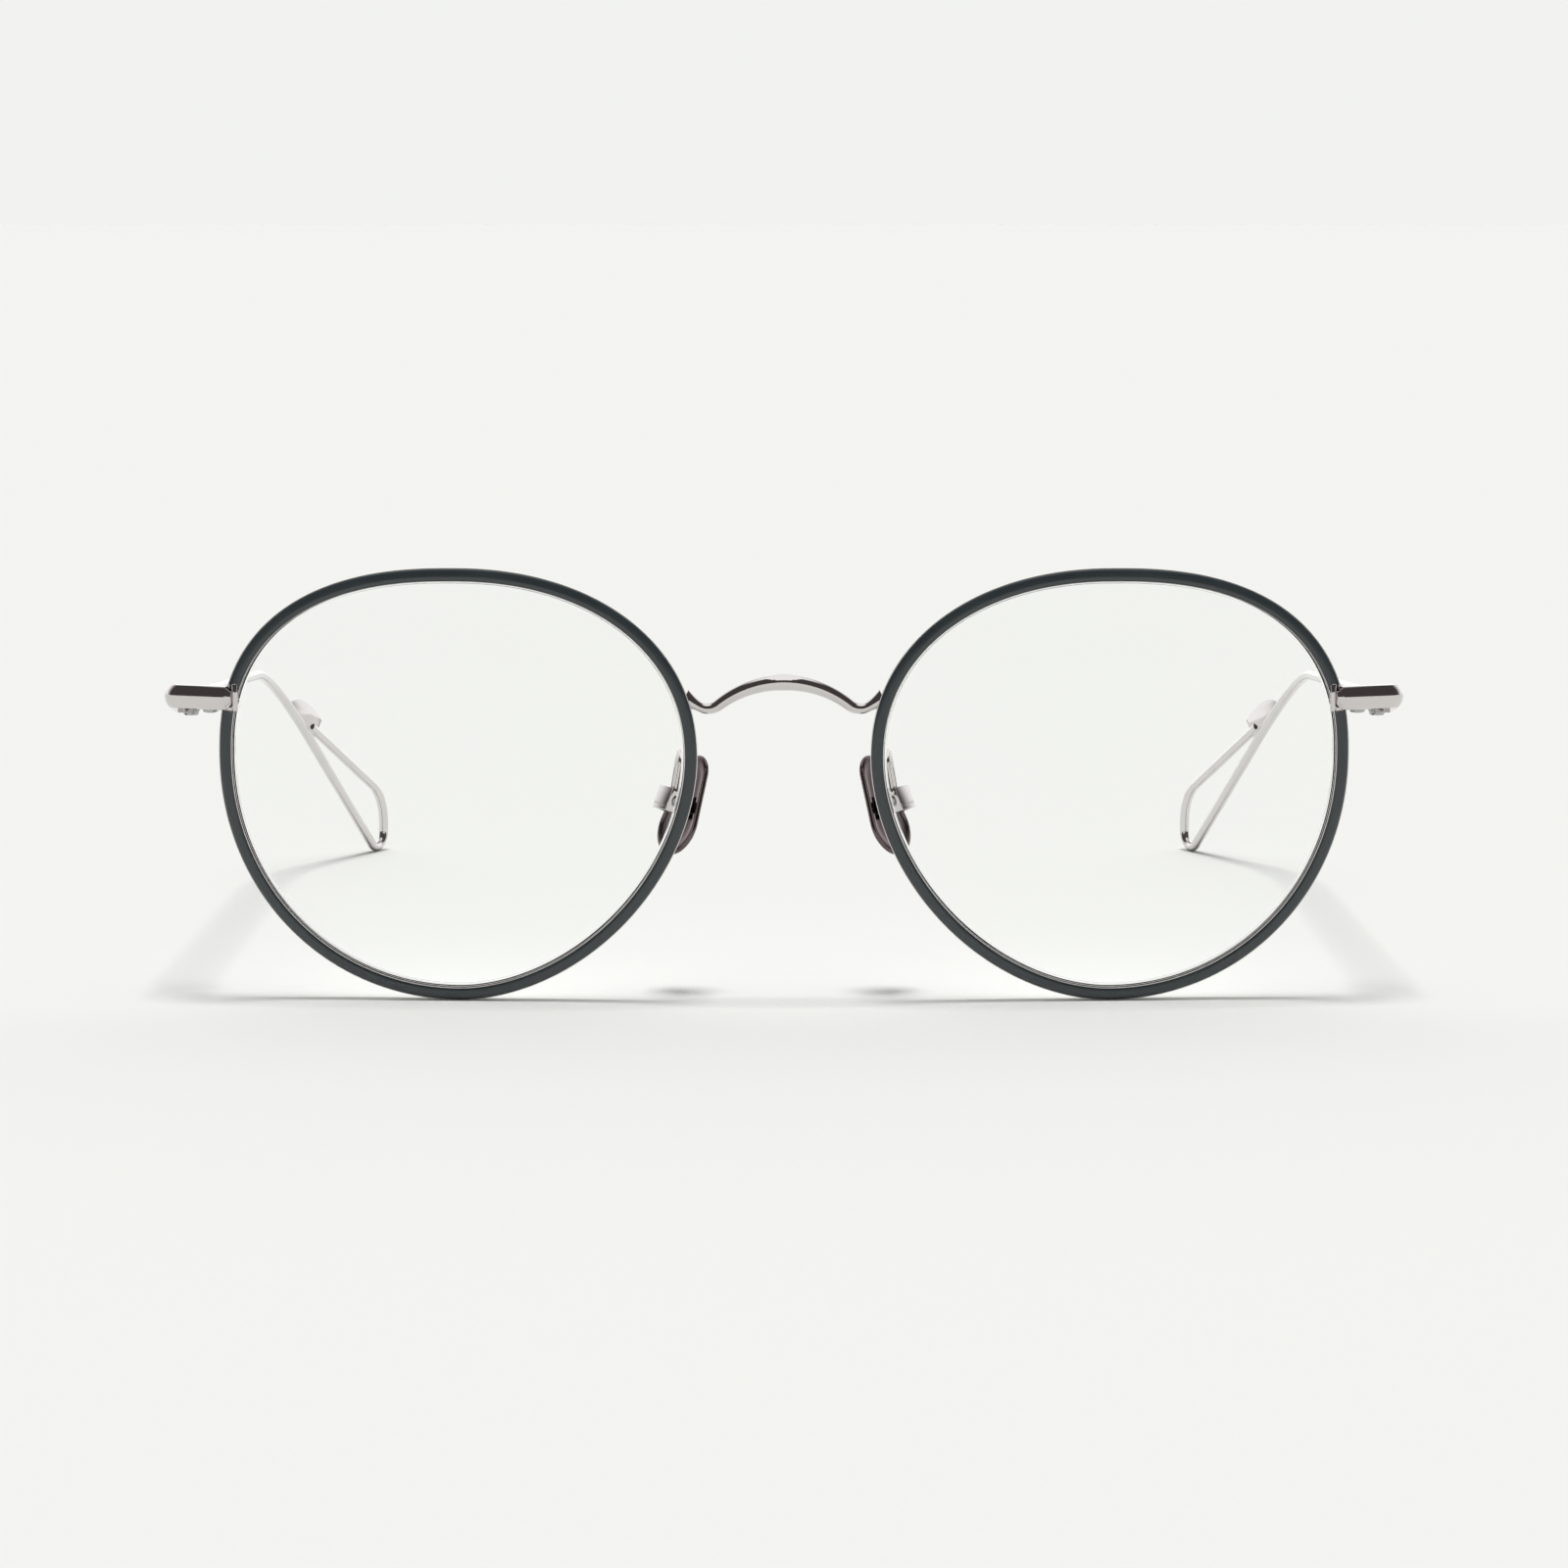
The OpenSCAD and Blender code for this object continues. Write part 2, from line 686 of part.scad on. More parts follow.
module loop_plate(name) {
    quarter = [for (i = [0 : plate_steps]) let (a = 90 * i / plate_steps)
        [plate_l * sin(a), plate_h * cos(a)]];
    across = unit(cross(-along_tip, plate_up));
    up = unit(plate_up);
    color("gray")
        side(name)
            difference() {
                at_pin_level()
                    multmatrix([[-along_tip.x, up.x, across.x, plate_low.x],
                                [-along_tip.y, up.y, across.y, plate_low.y],
                                [-along_tip.z, up.z, across.z, plate_low.z],
                                [0, 0, 0, 1]])
                        linear_extrude(height = plate_t, center = true)
                            polygon(concat([[0, 0]], quarter));
                at_pin_level() tip_wire();
            }
}

// ---------- nose pads ----------

box_w = 2;
box_d = 2.6;
box_h = 2.6;
lug_t = 1.2;
lug_slot = lug_t + 0.2;
lug_r = 0.65;
box_front = -0.9;
pad_back = box_front - 0.4;
pad_head_r = 0.6;
pad_head_h = 0.35;

// The arm leaves the rim's rear face back and up, then turns down to the top of the pad box
arm_angle = 182.5;
arm_rise = [0.9, 3, 1.1];
arm_foot = in_rim(rim_point(arm_angle, eyewire_w / 2, eyewire_d));
arm_start = arm_foot - eyewire_d / 4 * unit(arm_rise);
arm_fall = [arm_foot.x + 1.1, pad_y + 0.6, -1];
arm_bends = [1.6, 1.8];
arm_sides = 10;

module pad_arm(name) {
    box_top = [pad_x, pad_y, -pad_below]
        + turn_z([-sin(pad_lean), 0, cos(pad_lean)] * box_h / 2, -pad_splay);
    color("silver")
        side(name)
            difference() {
                in_front()
                    bent_wire([arm_start, arm_foot + arm_rise, arm_fall, box_top],
                        arm_bends, pad_arm_r, arm_sides, [1, 0, 0]);
                at_rim() rim_envelope(arm_angle - 8, arm_angle + 8, 0);
            }
}

module pad_box(name) {
    color("silver")
        side(name)
            at_pad()
                difference() {
                    translate([box_front, -box_d / 2, -box_h / 2])
                        cube([box_w, box_d, box_h]);
                    translate([box_front - eps, -lug_slot / 2, -box_h])
                        cube([lug_r + 0.1 - box_front, lug_slot, 2 * box_h]);
                    rotate([90, 0, 0])
                        cylinder(r = pad_screw_r, h = 2 * box_d, center = true, $fn = round_fn);
                }
}

module pad_screw(name) {
    color("dimgray")
        side(name)
            at_pad()
                translate([0, -box_d / 2, 0])
                    rotate([-90, 0, 0])
                        slotted_screw(pad_screw_r, box_d, pad_head_r, pad_head_h);
}

module nose_pad(name) {
    color("rosybrown")
        side(name)
            at_pad()
                difference() {
                    union() {
                        translate([pad_back - pad_t / 2, 0, 0])
                            hull() {
                                translate([0, 0, -pad_l / 2 + pad_w / 2])
                                    scale([pad_t / pad_w, 1, 1])
                                        sphere(d = pad_w, $fn = 32);
                                translate([0, 0, pad_l / 2 - pad_w / 3])
                                    scale([pad_t / pad_w, 1, 1])
                                        sphere(d = pad_w * 2 / 3, $fn = 32);
                            }
                        translate([pad_back - pad_t / 2, -lug_t / 2, -lug_r])
                            cube([pad_t / 2 - pad_back, lug_t, 2 * lug_r]);
                        rotate([90, 0, 0])
                            cylinder(r = lug_r, h = lug_t, center = true, $fn = round_fn);
                    }
                    rotate([90, 0, 0])
                        cylinder(r = pad_screw_r + hinge_clearance, h = 2 * lug_t, center = true, $fn = round_fn);
                }
}

eyewire("right");  // right_eyewire
eyewire("left");  // left_eyewire
rim_inlay("right");  // right_rim_inlay
rim_inlay("left");  // left_rim_inlay
lens("right");  // right_lens
lens("left");  // left_lens
bridge();
endpiece("right");  // right_endpiece
endpiece("left");  // left_endpiece
lock_upper("right");  // right_lock_upper
lock_upper("left");  // left_lock_upper
lock_lower("right");  // right_lock_lower
lock_lower("left");  // left_lock_lower
lock_screw("right");  // right_lock_screw
lock_screw("left");  // left_lock_screw
front_hinge("right");  // right_front_hinge
front_hinge("left");  // left_front_hinge
hinge_screw("right");  // right_hinge_screw
hinge_screw("left");  // left_hinge_screw
temple_hinge("right");  // right_temple_hinge
temple_hinge("left");  // left_temple_hinge
temple_butt("right");  // right_temple_butt
temple_butt("left");  // left_temple_butt
temple_wire("right");  // right_temple_wire
temple_wire("left");  // left_temple_wire
loop_plate("right");  // right_loop_plate
loop_plate("left");  // left_loop_plate
pad_arm("right");  // right_pad_arm
pad_arm("left");  // left_pad_arm
pad_box("right");  // right_pad_box
pad_box("left");  // left_pad_box
pad_screw("right");  // right_pad_screw
pad_screw("left");  // left_pad_screw
nose_pad("right");  // right_nose_pad
nose_pad("left");  // left_nose_pad
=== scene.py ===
# Round wire eyeglasses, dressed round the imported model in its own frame. Sizes are in millimetres
# until a mesh is made, and in metres after that. The wearer's left is +X and the back is +Y.
import json
import math

import bmesh
import bpy
import numpy as np
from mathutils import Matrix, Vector


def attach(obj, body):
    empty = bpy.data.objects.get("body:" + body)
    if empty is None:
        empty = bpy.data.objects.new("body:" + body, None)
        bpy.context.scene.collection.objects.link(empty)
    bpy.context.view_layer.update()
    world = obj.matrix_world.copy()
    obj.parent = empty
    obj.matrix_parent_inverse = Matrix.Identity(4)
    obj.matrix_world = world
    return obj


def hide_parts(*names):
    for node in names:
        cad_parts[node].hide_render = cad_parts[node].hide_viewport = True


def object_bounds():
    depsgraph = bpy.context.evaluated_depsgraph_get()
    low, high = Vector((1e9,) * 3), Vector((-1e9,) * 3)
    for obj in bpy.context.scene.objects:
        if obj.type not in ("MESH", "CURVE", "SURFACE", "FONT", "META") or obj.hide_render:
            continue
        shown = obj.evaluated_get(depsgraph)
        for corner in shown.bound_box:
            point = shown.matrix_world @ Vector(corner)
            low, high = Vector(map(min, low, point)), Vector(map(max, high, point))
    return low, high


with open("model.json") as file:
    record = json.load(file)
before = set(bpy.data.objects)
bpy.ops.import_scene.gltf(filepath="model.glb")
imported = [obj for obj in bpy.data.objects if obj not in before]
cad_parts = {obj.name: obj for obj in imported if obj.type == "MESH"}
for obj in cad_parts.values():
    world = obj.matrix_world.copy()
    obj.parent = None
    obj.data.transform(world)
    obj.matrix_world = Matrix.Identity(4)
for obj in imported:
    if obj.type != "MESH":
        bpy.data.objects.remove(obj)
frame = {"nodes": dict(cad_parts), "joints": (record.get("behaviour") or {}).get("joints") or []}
cad_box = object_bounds()
MM = 0.001

# ---------------- camera
# A long lens a little above the table, square to the front of the glasses, so that the rims
# read as drawn and the temples fall away behind them.
camera_distance = 0.5882
camera_height = 0.0924
camera_pitch = math.radians(6.62)
lens_length = 125.89


def put_in_scene(name, data):
    """A new object in the scene for a mesh, a light or a camera."""
    made = bpy.data.objects.new(name, data)
    bpy.context.scene.collection.objects.link(made)
    return made


camera = put_in_scene("camera", bpy.data.cameras.new("camera"))
camera.location = (0, cad_box[0].y - camera_distance, camera_height)
camera.rotation_euler = (math.pi / 2 - camera_pitch, 0, 0)
camera.data.lens = lens_length
camera.data.sensor_width = 36
camera.data.clip_start = 0.01
camera.data.clip_end = 30
bpy.context.scene.camera = camera
bpy.context.scene.view_settings.view_transform = "Standard"


# ---------------- studio
# A pale table top that runs out to a horizon of its own colour, one broad soft light straight
# overhead, a bright sweep behind, and an unlit room on the camera's side. Polished metal shows
# all four, so the room's dark and the table's light are what draws the silver parts.
def srgb(text):
    """A colour written as six hex digits, as the linear colour that a node takes."""
    values = [int(text[i : i + 2], 16) / 255 for i in (0, 2, 4)]
    return [v / 12.92 if v <= 0.04045 else ((v + 0.055) / 1.055) ** 2.4 for v in values] + [1.0]


def feed(tree, node, inputs):
    """Gives each named input of a node a value, or the output socket that feeds it."""
    for name, value in inputs.items():
        if isinstance(value, bpy.types.NodeSocket):
            tree.links.new(value, node.inputs[name])
        else:
            node.inputs[name].default_value = value


def add_node(tree, kind, settings, inputs):
    """Adds a node with its settings and its inputs."""
    made = tree.nodes.new(kind)
    for name, value in settings.items():
        setattr(made, name, value)
    feed(tree, made, inputs)
    return made


horizon = srgb("F2F3F0")
room_dark = srgb("4A4544")
sweep_light = 1.25
sun_strength = 2.03
sun_angle = math.radians(14)
behind_from, behind_full = 0.0, 0.65
overhead_from, overhead_full = 0.88, 0.96

world = bpy.data.worlds.new("studio")
world.use_nodes = True
bpy.context.scene.world = world
tree = world.node_tree
tree.nodes.clear()
direction = add_node(tree, "ShaderNodeTexCoord", {}, {})
axes = add_node(tree, "ShaderNodeSeparateXYZ", {}, {"Vector": direction.outputs["Generated"]})
behind = add_node(
    tree, "ShaderNodeMapRange", {"interpolation_type": "SMOOTHSTEP"},
    {"Value": axes.outputs["Y"], "From Min": behind_from, "From Max": behind_full},
)
overhead_panel = add_node(
    tree, "ShaderNodeMapRange", {"interpolation_type": "SMOOTHSTEP"},
    {"Value": axes.outputs["Z"], "From Min": overhead_from, "From Max": overhead_full},
)
lit = add_node(
    tree, "ShaderNodeMath", {"operation": "MAXIMUM"},
    {0: behind.outputs["Result"], 1: overhead_panel.outputs["Result"]},
)
room = add_node(
    tree, "ShaderNodeMix", {"data_type": "RGBA"},
    {"Factor": lit.outputs["Value"], "A": room_dark, "B": [sweep_light] * 3 + [1.0]},
)
seen = add_node(tree, "ShaderNodeLightPath", {}, {})
seen_plain = add_node(
    tree, "ShaderNodeMath", {"operation": "MAXIMUM"},
    {0: seen.outputs["Is Camera Ray"], 1: seen.outputs["Is Transmission Ray"]},
)
shown = add_node(
    tree, "ShaderNodeMix", {"data_type": "RGBA"},
    {"Factor": seen_plain.outputs["Value"], "A": room.outputs["Result"], "B": horizon},
)
backdrop = add_node(tree, "ShaderNodeBackground", {}, {"Color": shown.outputs["Result"]})
add_node(tree, "ShaderNodeOutputWorld", {}, {"Surface": backdrop.outputs["Background"]})

sun = put_in_scene("overhead", bpy.data.lights.new("overhead", "SUN"))
sun.data.energy = sun_strength
sun.data.angle = sun_angle
sun.visible_glossy = False


def new_material(name):
    """A material of an output and a Principled shader only, with its tree and its shader."""
    made = bpy.data.materials.new(name)
    made.use_nodes = True
    return made, made.node_tree, made.node_tree.nodes["Principled BSDF"]


def mesh_object(name, points, faces, material):
    """An object whose mesh is made from points in millimetres."""
    mesh = bpy.data.meshes.new(name)
    mesh.from_pydata([Vector(p) * MM for p in points], [], faces)
    mesh.materials.append(material)
    return put_in_scene(name, mesh)


def smooth(piece, corner):
    """Shades a piece smooth except where faces meet at more than corner degrees."""
    piece.data.shade_smooth()
    piece.data.set_sharp_from_angle(angle=math.radians(corner))


# Matt laminate has no gloss at all, and a speck half a millimetre across that is barely darker
table_radius = 6.0
table_sides = 96
table_colour, table_speck = srgb("E0E1DE"), srgb("DDDEDB")
speck_size = 0.5 * MM

table, tree, shader = new_material("matt_pale_table_laminate")
place = add_node(tree, "ShaderNodeTexCoord", {}, {})
speck = add_node(
    tree, "ShaderNodeTexNoise", {},
    {"Vector": place.outputs["Object"], "Scale": 1 / speck_size},
)
specked = add_node(
    tree, "ShaderNodeMix", {"data_type": "RGBA"},
    {"Factor": speck.outputs["Fac"], "A": table_colour, "B": table_speck},
)
feed(tree, shader, {
    "Base Color": specked.outputs["Result"], "Roughness": 1.0, "Specular IOR Level": 0.0
})
turns = [2 * math.pi * i / table_sides for i in range(table_sides)]
edge = table_radius / MM
table_top = mesh_object(
    "table_top",
    [(edge * math.cos(a), edge * math.sin(a), 0) for a in turns],
    [list(range(table_sides))],
    table,
)

# ---------------- eyewires
# Each rim is a drawn wire of palladium-plated metal, rolled to the lens outline and laid on its
# base curve. The wire has a lens groove inside and a shallow channel in front between two thin
# bright lips; it is split at the end piece, where a screw closes it on the lens.
rim_half_w, rim_top_h, rim_bottom_h = 26.05, 20.65, 26.85
outer_top_power, nose_top_power = 2.4, 2.15
outer_bottom_power, nose_bottom_power = 2.05, 1.85
lens_spacing, base_curve_r = 71.0, 132.0
wrap_angle, front_lean = 3.0, 3.0
eyewire_w, eyewire_d = 1.46, 1.9
lip_w, channel_d, groove_d = 0.1, 0.4, 0.38
groove_mouth, groove_floor = 0.9, 0.34
outer_ease, lip_ease, groove_ease = 0.34, 0.03, 0.04
lock_slit = 0.1
endpiece_z, endpiece_h, endpiece_t = 6.3, 2.5, 1.3
endpiece_run, endpiece_turn_r, endpiece_back = 4.6, 1.2, 5.0
knuckle_r, knuckle_gap, hinge_drop, temple_drop = 0.95, 0.05, 1.4, 3.6
rim_mid_z = (rim_top_h - rim_bottom_h) / 2
rim_stations = 420


def deg(angle):
    """An angle or an array of angles in degrees, in radians."""
    return angle * math.pi / 180


X, Y, Z = 0, 1, 2


def turned(axis, p, angle):
    """Points turned about an axis by an angle in degrees."""
    c, s = math.cos(deg(angle)), math.sin(deg(angle))
    p = np.array(p, float)
    i, j = (axis + 1) % 3, (axis + 2) % 3
    p[..., i], p[..., j] = p[..., i] * c - p[..., j] * s, p[..., i] * s + p[..., j] * c
    return p


def outline(a):
    """The rim's outline and its outward normal at angles in degrees, as rows of (x, z)."""
    a = deg(np.asarray(a, float))
    c, s = np.cos(a), np.sin(a)
    power = np.where(
        s >= 0,
        np.where(c >= 0, outer_top_power, nose_top_power),
        np.where(c >= 0, outer_bottom_power, nose_bottom_power),
    )
    height = np.where(s >= 0, rim_top_h, rim_bottom_h)
    point = np.stack([
        rim_half_w * np.sign(c) * np.abs(c) ** (2 / power),
        height * np.sign(s) * np.abs(s) ** (2 / power),
    ], -1)
    normal = np.stack([
        np.sign(c) * (np.abs(point[..., 0]) / rim_half_w) ** (power - 1) / rim_half_w,
        np.sign(s) * (np.abs(point[..., 1]) / height) ** (power - 1) / height,
    ], -1)
    return point, normal / np.linalg.norm(normal, axis=-1, keepdims=True)


def on_curve(flat, depth):
    """A point of the outline's plane, laid on the base curve and pushed back along its radius."""
    v = np.asarray(flat, float) - [0, rim_mid_z]
    k = 1 - np.asarray(depth) / base_curve_r
    drop = np.sqrt(base_curve_r**2 - (v**2).sum(-1))
    return np.stack([k * v[..., 0], base_curve_r - k * drop, k * v[..., 1] + rim_mid_z], -1)


def rim_point(a, inset, depth):
    """A point of the rim, inset from its outline and pushed back from its front face."""
    point, normal = outline(a)
    return on_curve(point - np.asarray(inset)[..., None] * normal, depth)


def in_rim(p):
    """From the left rim's own frame to the front's: turned by the wrap and moved off centre."""
    return turned(Z, p, wrap_angle) + [lens_spacing / 2, 0, 0]


def crossing(z):
    """The angle, on the temple side, where the outline is z above the widest line."""
    return math.degrees(math.asin((z / rim_top_h) ** (outer_top_power / 2)))


# Where the end piece leaves the rim's outer edge, turns back and carries the hinge pin. The packed
# pin then says how far the leaned front stands back and up.
edge_angle = crossing(endpiece_z)
edge_turn = wrap_angle + math.degrees(math.asin(outline(edge_angle)[0][0] / base_curve_r))
edge_seat = (endpiece_z - rim_mid_z) / base_curve_r * endpiece_h / 2
edge_point = in_rim(rim_point(edge_angle, 0, 0)) - [0, edge_seat, 0]
edge_cos, edge_sin = math.cos(deg(edge_turn)), math.sin(deg(edge_turn))
inner_y = edge_point[1] + endpiece_run * edge_sin + endpiece_turn_r * edge_cos
inner_x = edge_point[0] + endpiece_run * edge_cos + endpiece_turn_r * (1 - edge_sin)
pin_in_front = np.array(
    [inner_x - knuckle_r - knuckle_gap, inner_y + endpiece_back, endpiece_z - hinge_drop]
)
pin = {j["name"]: np.array(j["pos_m"]) / MM for j in frame["joints"]}["left_temple_fold"]
shift = (pin - turned(X, pin_in_front, front_lean)) * [0, 1, 1]


def in_front(p):
    """From the upright front's own frame to the part's frame."""
    return turned(X, p, front_lean) + shift


def in_front_way(v):
    """The same turn for a direction."""
    return turned(X, v, front_lean)


def mirrored(p, hand):
    """Points of the left side, taken to the right side where hand is -1."""
    return np.asarray(p, float) * [hand, 1, 1]


# Both sides of the glasses: the name of the side, and the sign of its x
SIDES = (("left", 1), ("right", -1))


def tree_start(name, sockets):
    """A geometry tree with named inputs, its input node, and each point's facing direction."""
    made = bpy.data.node_groups.new(name, "GeometryNodeTree")
    for label, kind in {**sockets, "Finish": "Material"}.items():
        made.interface.new_socket(label, in_out="INPUT", socket_type="NodeSocket" + kind)
    made.interface.new_socket("Made", in_out="OUTPUT", socket_type="NodeSocketGeometry")
    facing = add_node(
        made, "GeometryNodeInputNamedAttribute", {"data_type": "FLOAT_VECTOR"}, {"Name": "facing"}
    )
    return made, add_node(made, "NodeGroupInput", {}, {}), facing


def tree_end(tree, given, geometry):
    """Makes the result real, gives it its finish and sends it out."""
    solid = add_node(tree, "GeometryNodeRealizeInstances", {}, {"Geometry": geometry})
    dressed = add_node(
        tree, "GeometryNodeSetMaterial", {},
        {"Geometry": solid.outputs["Geometry"], "Material": given.outputs["Finish"]},
    )
    add_node(tree, "NodeGroupOutput", {}, {"Made": dressed.outputs["Geometry"]})


# Sweeps a section along a path. The path's points carry the direction that the section's x axis
# follows, and the section is an outline of its own in the xy plane.
sweep, given, facing = tree_start(
    "sweep a section along a path", {"Path": "Geometry", "Section": "Object"}
)
line = add_node(sweep, "GeometryNodeMeshToCurve", {}, {"Mesh": given.outputs["Path"]})
aimed = add_node(
    sweep, "GeometryNodeSetCurveNormal", {"mode": "FREE"},
    {"Curve": line.outputs["Curve"], "Normal": facing.outputs["Attribute"]},
)
shape = add_node(sweep, "GeometryNodeObjectInfo", {}, {"Object": given.outputs["Section"]})
profile = add_node(sweep, "GeometryNodeMeshToCurve", {}, {"Mesh": shape.outputs["Geometry"]})
swept = add_node(
    sweep, "GeometryNodeCurveToMesh", {},
    {
        "Curve": aimed.outputs["Curve"],
        "Profile Curve": profile.outputs["Curve"],
        "Fill Caps": True,
    },
)
tree_end(sweep, given, swept.outputs["Mesh"])


def line_mesh(name, points, closed):
    """An object of one line through points in millimetres."""
    count = len(points)
    mesh = bpy.data.meshes.new(name)
    edges = [(i, (i + 1) % count) for i in range(count if closed else count - 1)]
    mesh.from_pydata([Vector(p) * MM for p in points], edges, [])
    return put_in_scene(name, mesh)


def finished_mesh(piece):
    """A plain mesh of a piece as its modifiers make it."""
    bpy.context.view_layer.update()
    graph = bpy.context.evaluated_depsgraph_get()
    return bpy.data.meshes.new_from_object(piece.evaluated_get(graph))


def face_along(source, ways):
    """Gives each point of a line mesh the direction that it faces."""
    attribute = source.data.attributes.new("facing", "FLOAT_VECTOR", "POINT")
    attribute.data.foreach_set("vector", np.asarray(ways, np.float32).ravel())


def made_by(tree, source, inputs):
    """Runs a node tree on source with named inputs, and returns its result as a plain object."""
    modifier = source.modifiers.new("build", "NODES")
    names = {s.name: s.identifier for s in tree.interface.items_tree if s.in_out == "INPUT"}
    modifier.node_group = tree
    for name, value in inputs.items():
        modifier[names[name]] = value
    mesh = finished_mesh(source)
    name = mesh.name = source.name
    bpy.data.objects.remove(source)
    return put_in_scene(name, mesh)


def swept_piece(name, path, facing_way, section, material):
    """A section swept along a path, turned anticlockwise so that the faces point outwards."""
    section = np.asarray(section, float)
    x, y = section[:, 0], section[:, 1]
    if (x * np.roll(y, -1) - y * np.roll(x, -1)).sum() < 0:
        section = section[::-1]
    source = line_mesh(name, path, False)
    face_along(source, facing_way)
    cut = line_mesh(name + ".section", [(a, b, 0) for a, b in section], True)
    made = made_by(sweep, source, {"Section": cut, "Finish": material})
    bpy.data.objects.remove(cut)
    return made


def rounded(corners):
    """An outline whose corners, given as (x, y, radius), are eased by a short arc."""
    corners = np.asarray(corners, float)
    points = []
    for i, (x, y, radius) in enumerate(corners):
        here = np.array([x, y])
        if radius == 0:
            points.append(here)
            continue
        before = corners[i - 1][:2] - here
        after = corners[(i + 1) % len(corners)][:2] - here
        before, after = before / np.linalg.norm(before), after / np.linalg.norm(after)
        for t in np.linspace(0, 1, 5):
            points.append(here + radius * ((1 - t) ** 2 * before + t**2 * after))
    return np.array(points)


def rim_path(first, last, count):
    """Points along the outline from one angle to another, and the way into the rim's depth."""
    a = np.linspace(first, last, count)
    front, back = rim_point(a, np.zeros(count), 0), rim_point(a, np.zeros(count), 1)
    way = turned(Z, back - front, wrap_angle)
    return in_front(in_rim(front)), in_front_way(way / np.linalg.norm(way, axis=1)[:, None])


def rim_sweep(name, hand, first, last, section, material):
    """A section of (depth, inset) swept round the rim of one side, between two angles."""
    path, way = rim_path(first, last, rim_stations)
    path, way = mirrored(path, hand), mirrored(way, hand)
    if hand < 0:
        path, way = path[::-1], way[::-1]
    return swept_piece(name, path, way, section, material)


def polished_metal(name, colour, rough, stretch):
    """Plated metal buffed on a wheel. The eye gets a near mirror that is a little softer in
    patches a few millimetres wide, with hairlines that follow the buffing. Real hairlines are
    about 0.02 mm wide; these are drawn at 0.15 mm so that they show. Stretch is the pattern's
    scale along each axis, smallest along the hairlines."""
    hairline_w, cloud_w = 0.15 * MM, 3 * MM
    material, tree, shader = new_material(name)
    place = add_node(tree, "ShaderNodeTexCoord", {}, {})
    along = add_node(
        tree, "ShaderNodeMapping", {}, {"Vector": place.outputs["Object"], "Scale": stretch}
    )
    hairline = add_node(
        tree, "ShaderNodeTexNoise", {},
        {"Vector": along.outputs["Vector"], "Scale": 1 / hairline_w, "Detail": 3.0},
    )
    cloud = add_node(
        tree, "ShaderNodeTexNoise", {},
        {"Vector": place.outputs["Object"], "Scale": 1 / cloud_w, "Detail": 2.0},
    )
    both = add_node(
        tree, "ShaderNodeMix", {"data_type": "FLOAT"},
        {"Factor": 0.35, "A": cloud.outputs["Fac"], "B": hairline.outputs["Fac"]},
    )
    gloss = add_node(
        tree, "ShaderNodeMapRange", {},
        {"Value": both.outputs["Result"], "From Min": 0.3, "From Max": 0.7,
         "To Min": rough[0], "To Max": rough[1]},
    )
    tint = add_node(
        tree, "ShaderNodeMix", {"data_type": "RGBA"},
        {"Factor": cloud.outputs["Fac"], "A": srgb(colour[0]), "B": srgb(colour[1])},
    )
    relief = add_node(
        tree, "ShaderNodeBump", {},
        {"Height": hairline.outputs["Fac"], "Strength": 0.06, "Distance": 0.01 * MM},
    )
    feed(tree, shader, {
        "Base Color": tint.outputs["Result"],
        "Roughness": gloss.outputs["Result"],
        "Normal": relief.outputs["Normal"],
        "Metallic": 1.0,
    })
    return material


# Palladium plate is a shade warmer and darker than silver, and does not tarnish
palladium = polished_metal(
    "palladium_plate_buffed", ("CDC9C8", "D6D2D1"), (0.05, 0.13), (1, 1, 0.2)
)

groove_mid = eyewire_d / 2
eyewire_section = rounded(
    [
        (0, 0, lip_ease),
        (eyewire_d, 0, outer_ease),
        (eyewire_d, eyewire_w, outer_ease),
        (groove_mid + groove_mouth / 2, eyewire_w, groove_ease),
        (groove_mid + groove_floor / 2, eyewire_w - groove_d, lip_ease),
        (groove_mid - groove_floor / 2, eyewire_w - groove_d, lip_ease),
        (groove_mid - groove_mouth / 2, eyewire_w, groove_ease),
        (0, eyewire_w, lip_ease),
        (0, eyewire_w - lip_w, lip_ease),
        (channel_d, eyewire_w - lip_w, lip_ease),
        (channel_d, lip_w, lip_ease),
        (0, lip_w, lip_ease),
    ]
)
slit_first = crossing(endpiece_z + lock_slit / 2)
slit_last = crossing(endpiece_z - lock_slit / 2) + 360
for side, hand in SIDES:
    eyewire = rim_sweep(
        side + "_eyewire_rolled", hand, slit_first, slit_last, eyewire_section, palladium
    )
    smooth(eyewire, 50)
    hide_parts(side + "_eyewire")
    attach(eyewire, "front")

# ---------------- rim inlays
# A ribbon of dark slate lacquer fills the channel of each eyewire and swells a little proud of
# its lips. It is brushed in, baked and rubbed smooth, so it is glossy with a soft crown, and
# stops short on both sides of the end piece.
inlay_crown = 0.16
inlay_gap_h = endpiece_h + 0.4
crown_power = 3.2
inlay_relief = 0.01


